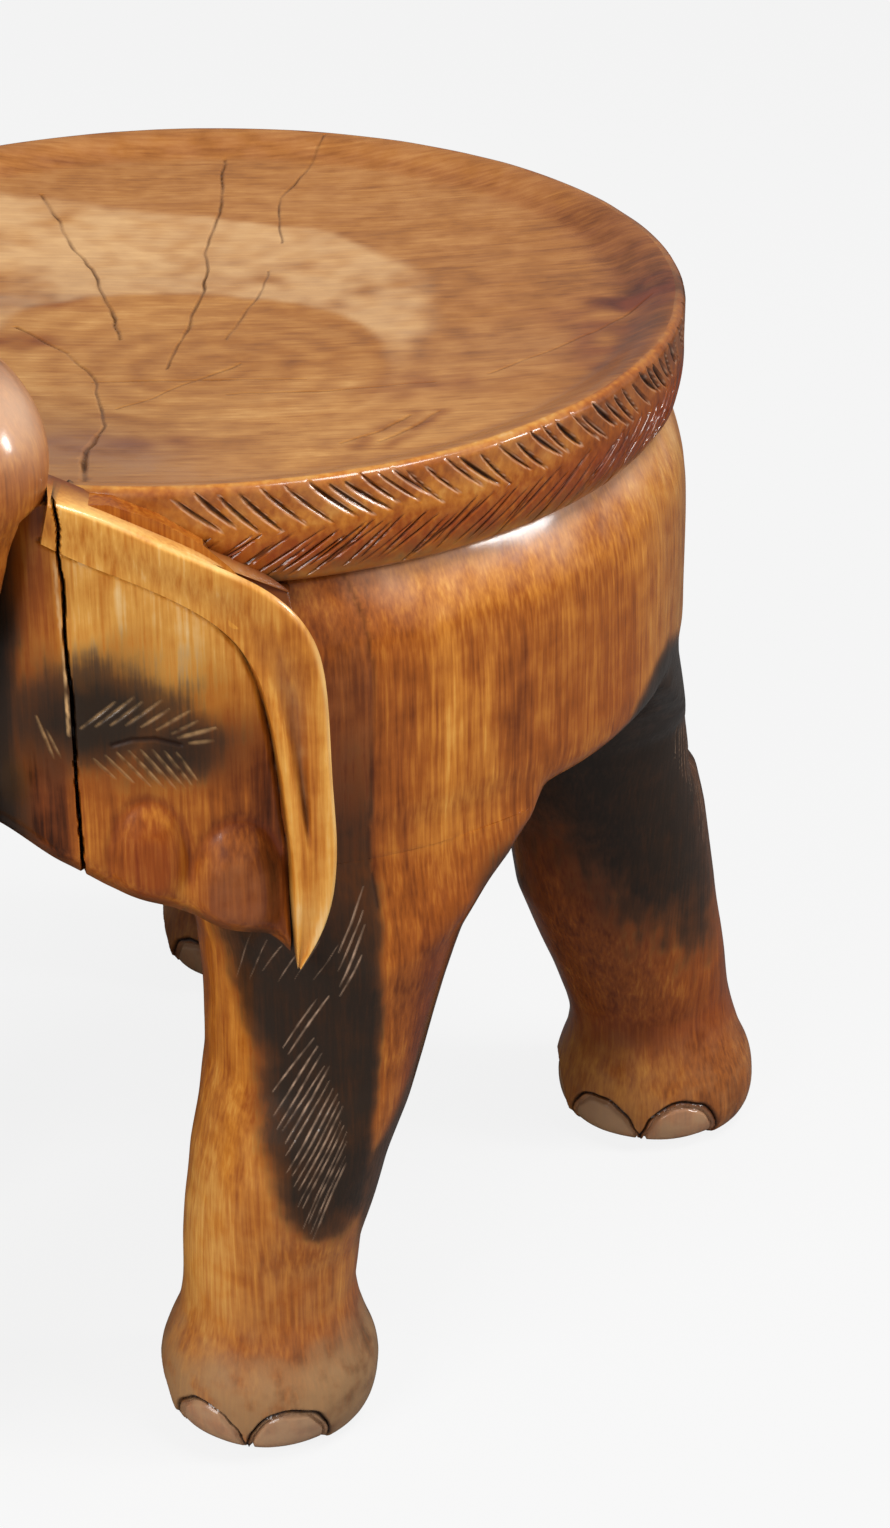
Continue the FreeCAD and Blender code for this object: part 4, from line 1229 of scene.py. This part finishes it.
def makeTrunk(material):
    form = trunkForm
    bm = bmesh.new()
    places = [
        ringPlace(0, -forward, height, halfWidth, halfDepth, -tilt)
        for forward, height, tilt, halfWidth, halfDepth in form["stations"]
    ]
    for step in range(form["curlRings"]):
        share = step / (form["curlRings"] - 1)
        angle = math.radians(form["curlTurn"] * share)
        forward = form["curlForward"] - form["curlRadius"] * math.cos(angle)
        height = form["curlHeight"] - form["curlRadius"] * math.sin(angle)
        halfWidth = form["curlStart"][0] + (form["curlEnd"][0] - form["curlStart"][0]) * share
        halfDepth = form["curlStart"][1] + (form["curlEnd"][1] - form["curlStart"][1]) * share
        places.append(ringPlace(0, -forward, height, halfWidth, halfDepth, -form["curlTurn"] * share))
    loft(bm, places, 48)
    for side in (1, -1):
        domeX, domeY, domeZ = form["domeAt"]
        place = Matrix.Translation((side * domeX, domeY, domeZ)) @ Matrix.Diagonal((*form["domeHalf"], 1))
        bmesh.ops.create_icosphere(bm, subdivisions=4, radius=1, matrix=place)
    bmesh.ops.recalc_face_normals(bm, faces=bm.faces)
    bm = remeshed(meshOf(bm, "trunk"), form["voxel"], 8)
    spots = spotsOf(bm)
    over = spots[:, 2] > form["overSeat"]
    spots[:, 1] = np.where(over, spots[:, 1], np.minimum(spots[:, 1], form["back"]))
    spots[:, 1] = np.maximum(spots[:, 1], form["front"])
    spots[:, 2] = np.minimum(spots[:, 2], form["top"])
    placeAll(bm, spots)
    x, y, z = spots.T
    refine(bm, (y < -230) & (z < 350) & (z > 100) & (np.abs(x) < 48), 1)
    mesh = meshOf(bm, "trunk")
    spots = pointsOf(mesh)
    facing = facingOf(mesh)
    x, y, z = spots.T
    folds = cutField(x, z + 0.006 * x * x, foldStrokes(), 1.3, 1.6) * ramp(-facing[:, 1], 0.1, 0.4)
    grain = cutField(x, z, browStrokes(), 0.9, 1.2) * ramp(-facing[:, 1], -0.2, 0.2)
    worn = np.minimum(smoothNoise(spots, 30.0, 23) * 0.8, 0.1)
    raised = (worn - 1.3 * folds - 0.35 * grain) * (y > form["front"] + 2)
    movePoints(mesh, spots + facing * raised[:, None])
    # the trunk's sides where they meet the cheeks are painted dark: painted shade of the recess
    recessShade = ramp(np.abs(x), 40, 70) * bell((z - 325) / 40, 0)
    tone = 0.06 * bell((np.abs(x) - 50) / 30, (z - 430) / 30) + 0.1 * bell(x / 30, (z - 240) / 90)
    red = 0.42 * bell((z - 372) / 26, 0) + 0.25 * bell((z - 110) / 30, 0)
    # a soft pale spot on top of each forehead dome: a painted highlight
    paintedDomeHighlight = 0.7 * bell(np.hypot(np.abs(x) - 90, y + 189) / 20, (z - 440) / 17)
    paintLayers(mesh, {
        "burnAndShade": np.maximum(1.05 * recessShade, 0.6 * (1 - ramp(z, 56, 78))),
        # dark in the creases and fine cuts: painted shade
        "cut": np.clip(0.75 * folds + 0.5 * grain, 0, 1),
        "tone": tone, "red": red, "grey": 0.35 * ramp(z, 405, 440), "pale": paintedDomeHighlight,
    })
    addPiece("trunk_carved", mesh, material, "trunk")


def foldStrokes():
    # shallow creases across the front of the trunk
    strokes = []
    for step in range(17):
        z = 318 - 12.2 * step + random.uniform(-2, 2)
        half = 44 - 0.9 * step
        start, end = random.uniform(-2, 6) - half, half + random.uniform(-6, 2)
        strokes.append((start, z, end, z, random.uniform(0.7, 1.05)))
    return strokes


def browStrokes():
    # fine upright cuts down both sides of the forehead
    strokes = []
    for side in (1, -1):
        for step in range(13):
            x = side * (14 + 5.6 * step + random.uniform(-1.5, 1.5))
            top = 408 - 0.35 * step + random.uniform(-8, 8)
            lower = (x - side * random.uniform(3, 8), top - random.uniform(26, 52))
            strokes.append((x, top, *lower, random.uniform(0.4, 0.9)))
    return strokes


tuskForm = {
    "root": (66.0, -197.0, 292.0), "direction": (0.05, -0.9, -0.42), "sunk": 12.0,
    "radius": 10.0, "tip": 3.5, "length": 92.0, "rootShare": 0.68,
}


def makeTusk(side, material):
    form = tuskForm
    root = Vector(form["root"])
    direction = Vector(form["direction"]).normalized()
    turn = direction.to_track_quat("Z", "Y").to_matrix().to_4x4()
    start = root - direction * form["sunk"] + direction * form["radius"] * 0.6
    places = []
    for step in range(25):
        share = step / 24
        radius = form["radius"] + (form["tip"] - form["radius"]) * share ** 1.5
        radius *= math.sqrt(max(0.02, 1 - max(0.0, (share - 0.93) / 0.072) ** 2))
        radius *= form["rootShare"] + (1 - form["rootShare"]) * ramp(share, 0, 0.24)
        middle = start + direction * (form["length"] + form["sunk"]) * share
        places.append(Matrix.Translation(middle) @ turn @ Matrix.Diagonal((radius, radius, 1, 1)))
    bm = bmesh.new()
    loft(bm, places, 32)
    if side < 0:
        bmesh.ops.scale(bm, vec=(-1, 1, 1), verts=bm.verts)
    bmesh.ops.recalc_face_normals(bm, faces=bm.faces)
    name = "left_tusk" if side > 0 else "right_tusk"
    addPiece(name + "_carved", meshOf(bm, name), material, name)


tailForm = {
    # height, width and how far it stands out from the rump
    "stations": [
        (343, 14, 6.6), (320, 18, 9), (300, 19, 10.5), (270, 15, 11), (250, 22, 13), (235, 30, 14.3),
        (220, 24, 12), (207, 8, 6),
    ],
    "bottom": 205.5, "top": 342.5, "rings": 60, "middle": 192.2, "back": 191.0,
}


def makeTail(material):
    form = tailForm
    table = np.array(form["stations"][::-1], float)
    heights = np.linspace(form["bottom"], form["top"], form["rings"])
    width, thick = (np.interp(heights, table[:, 0], table[:, column]) for column in (1, 2))
    bm = bmesh.new()
    places = [ringPlace(0, form["middle"], z, w / 2, t) for z, w, t in zip(heights, width, thick)]
    loft(bm, places, 40)
    for vert in bm.verts:
        vert.co.y = max(vert.co.y, form["back"])
    bmesh.ops.remove_doubles(bm, verts=bm.verts, dist=0.01)
    bmesh.ops.recalc_face_normals(bm, faces=bm.faces)
    mesh = meshOf(bm, "tail")
    spots = pointsOf(mesh)
    x, y, z = spots.T
    strokes = [(x0, 262, 0.35 * x0, 208, 0.9) for x0 in (-10.5, -7.5, -4.5, -1.5, 1.5, 4.5, 7.5, 10.5)]
    hair = cutField(x, z, strokes, 0.9, 1.2)
    movePoints(mesh, spots - facingOf(mesh) * (0.8 * hair)[:, None] * (y > 194)[:, None])
    paintLayers(mesh, {"burnAndShade": 0.85 * ramp(262 - z, 0, 30), "pale": 0.5 * hair, "tone": 0.05 + 0 * z})
    addPiece("tail_carved", mesh, material, "tail")


# Stage, lights and camera
stageLook = {
    "floorSize": 30.0,
    "floorColour": rgb(196, 196, 196),
    "glossColour": rgb(90, 90, 90),
    "shownColour": rgb(246, 246, 246),
    "shownShare": 0.9,
    "shownStrength": 1.04,
    "skyColour": rgb(240, 240, 240),
}


def makeStage():
    paint = Paint("floorPaint")
    seen = paint.add("ShaderNodeLightPath", {}, {}, 0)
    glossy = paint.add("ShaderNodeLightPath", {}, {}, 3)
    plain = paint.add("ShaderNodeBsdfDiffuse", {}, {"Color": stageLook["floorColour"]})
    dim = paint.add("ShaderNodeBsdfDiffuse", {}, {"Color": stageLook["glossColour"]})
    plain = paint.add("ShaderNodeMixShader", {}, {0: glossy, 1: plain, 2: dim})
    glow = paint.add(
        "ShaderNodeEmission", {}, {"Color": stageLook["shownColour"], "Strength": stageLook["shownStrength"]},
    )
    both = paint.add("ShaderNodeMixShader", {}, {0: seen * stageLook["shownShare"], 1: plain, 2: glow})
    paint.add("ShaderNodeOutputMaterial", {}, {"Surface": both})
    bm = bmesh.new()
    bmesh.ops.create_grid(bm, x_segments=1, y_segments=1, size=stageLook["floorSize"] / 2)
    floor = bpy.data.objects.new("floor", meshOf(bm, "floor"))
    floor.data.materials.append(paint.material)
    scene.collection.objects.link(floor)


lampLook = {
    # name, place in metres, aim, size, power
    "lamps": [
        ("topLamp", (0.95, 0.26, 2.2), (0, 0.05, 0.35), 0.7, 36.0),
        ("backLamp", (1.78, 1.06, 1.1), (0, 0.05, 0.34), 0.36, 18.0),
        ("frontLamp", (0.1, -2.4, 1.5), (0, 0, 0.25), 1.3, 56.0),
    ],
    "world": 0.24,
}


def makeLight():
    for name, place, aim, size, power in lampLook["lamps"]:
        data = bpy.data.lights.new(name, "AREA")
        data.size = size
        data.energy = power
        lamp = bpy.data.objects.new(name, data)
        lamp.location = place
        lamp.rotation_euler = (Vector(aim) - Vector(place)).to_track_quat("-Z", "Y").to_euler()
        scene.collection.objects.link(lamp)
    world = bpy.data.worlds.new("studio")
    world.use_nodes = True
    tree = world.node_tree
    sky = tree.nodes["Background"]
    sky.inputs["Strength"].default_value = lampLook["world"]
    shown = tree.nodes.new("ShaderNodeBackground")
    shown.inputs["Color"].default_value = stageLook["skyColour"]
    sky.inputs["Color"].default_value = (1.0, 1.0, 1.0, 1.0)
    path = tree.nodes.new("ShaderNodeLightPath")
    both = tree.nodes.new("ShaderNodeMixShader")
    tree.links.new(path.outputs["Is Camera Ray"], both.inputs[0])
    tree.links.new(sky.outputs[0], both.inputs[1])
    tree.links.new(shown.outputs[0], both.inputs[2])
    tree.links.new(both.outputs[0], tree.nodes["World Output"].inputs["Surface"])
    scene.world = world


cameraForm = {
    "place": (930.8, -1076.5, 940.7), "turn": 36.9, "pitch": 27.53, "roll": -0.527, "lens": 94.24,
}


def makeCamera():
    data = bpy.data.cameras.new("camera")
    data.lens = cameraForm["lens"]
    data.sensor_width = 36.0
    data.clip_start = 0.05
    camera = bpy.data.objects.new("camera", data)
    camera.matrix_world = (
        Matrix.Translation(toFrame @ Vector(cameraForm["place"]))
        @ Matrix.Rotation(math.radians(cameraForm["turn"]), 4, "Z")
        @ Matrix.Rotation(math.radians(90 - cameraForm["pitch"]), 4, "X")
        @ Matrix.Rotation(math.radians(cameraForm["roll"]), 4, "Z")
    )
    scene.collection.objects.link(camera)
    scene.camera = camera


makeCamera()
makeStage()
makeLight()
print("stage, lights and camera")

bodyPaint = woodPaint("bodyWood", {})
headPaint = woodPaint("headWood", {"pale": rgb(212, 166, 112)})
seatPaint = woodPaint("seatWood", {
    "turn": -0.644, "broad": (11.0, 26.0, 14.0), "streak": (14.0, 130.0, 40.0), "fine": (70.0, 640.0, 200.0),
    "redBrown": rgb(122, 70, 26), "brown": rgb(160, 102, 44), "amber": rgb(184, 128, 66),
    "gold": rgb(208, 156, 92), "cut": rgb(72, 42, 18), "pale": rgb(228, 196, 152), "dustAndShade": rgb(150, 108, 84),
    "stripe": 0.32, "cloud": 0.36, "speck": 0.36, "patch": 0.36, "base": 0.49, "relief": 0.25,
})
bandPaint = woodPaint("bandWood", {
    "broad": (22.0, 22.0, 22.0), "streak": (70.0, 70.0, 60.0), "fine": (400.0, 400.0, 300.0), "base": 0.47,
})
# the ear's pale colour paints the highlight along its outer edge
earPaint = woodPaint("earWood", {"streak": (120.0, 120.0, 18.0), "pale": rgb(236, 198, 126)})
tuskPaint = woodPaint("tuskWood", {"base": 0.62})
plainPaint = woodPaint("plainWood", {"base": 0.75, "coat": 0.0})

whole = wholeLog()
makeBody(whole, bodyPaint)
makeLegs(whole, bodyPaint)
whole.free()
makeSeatBand(bandPaint)
makeSeatDish(seatPaint)
makeHead(headPaint)
for side in (1, -1):
    makeEar(side, earPaint)
    makeTusk(side, tuskPaint)
makeTrunk(bodyPaint)
makeTail(bodyPaint)

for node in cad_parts.values():
    if not node.hide_render:
        node.data.materials.clear()
        node.data.materials.append(plainPaint)
print("materials on the joinery")

scene.view_settings.view_transform = "Standard"
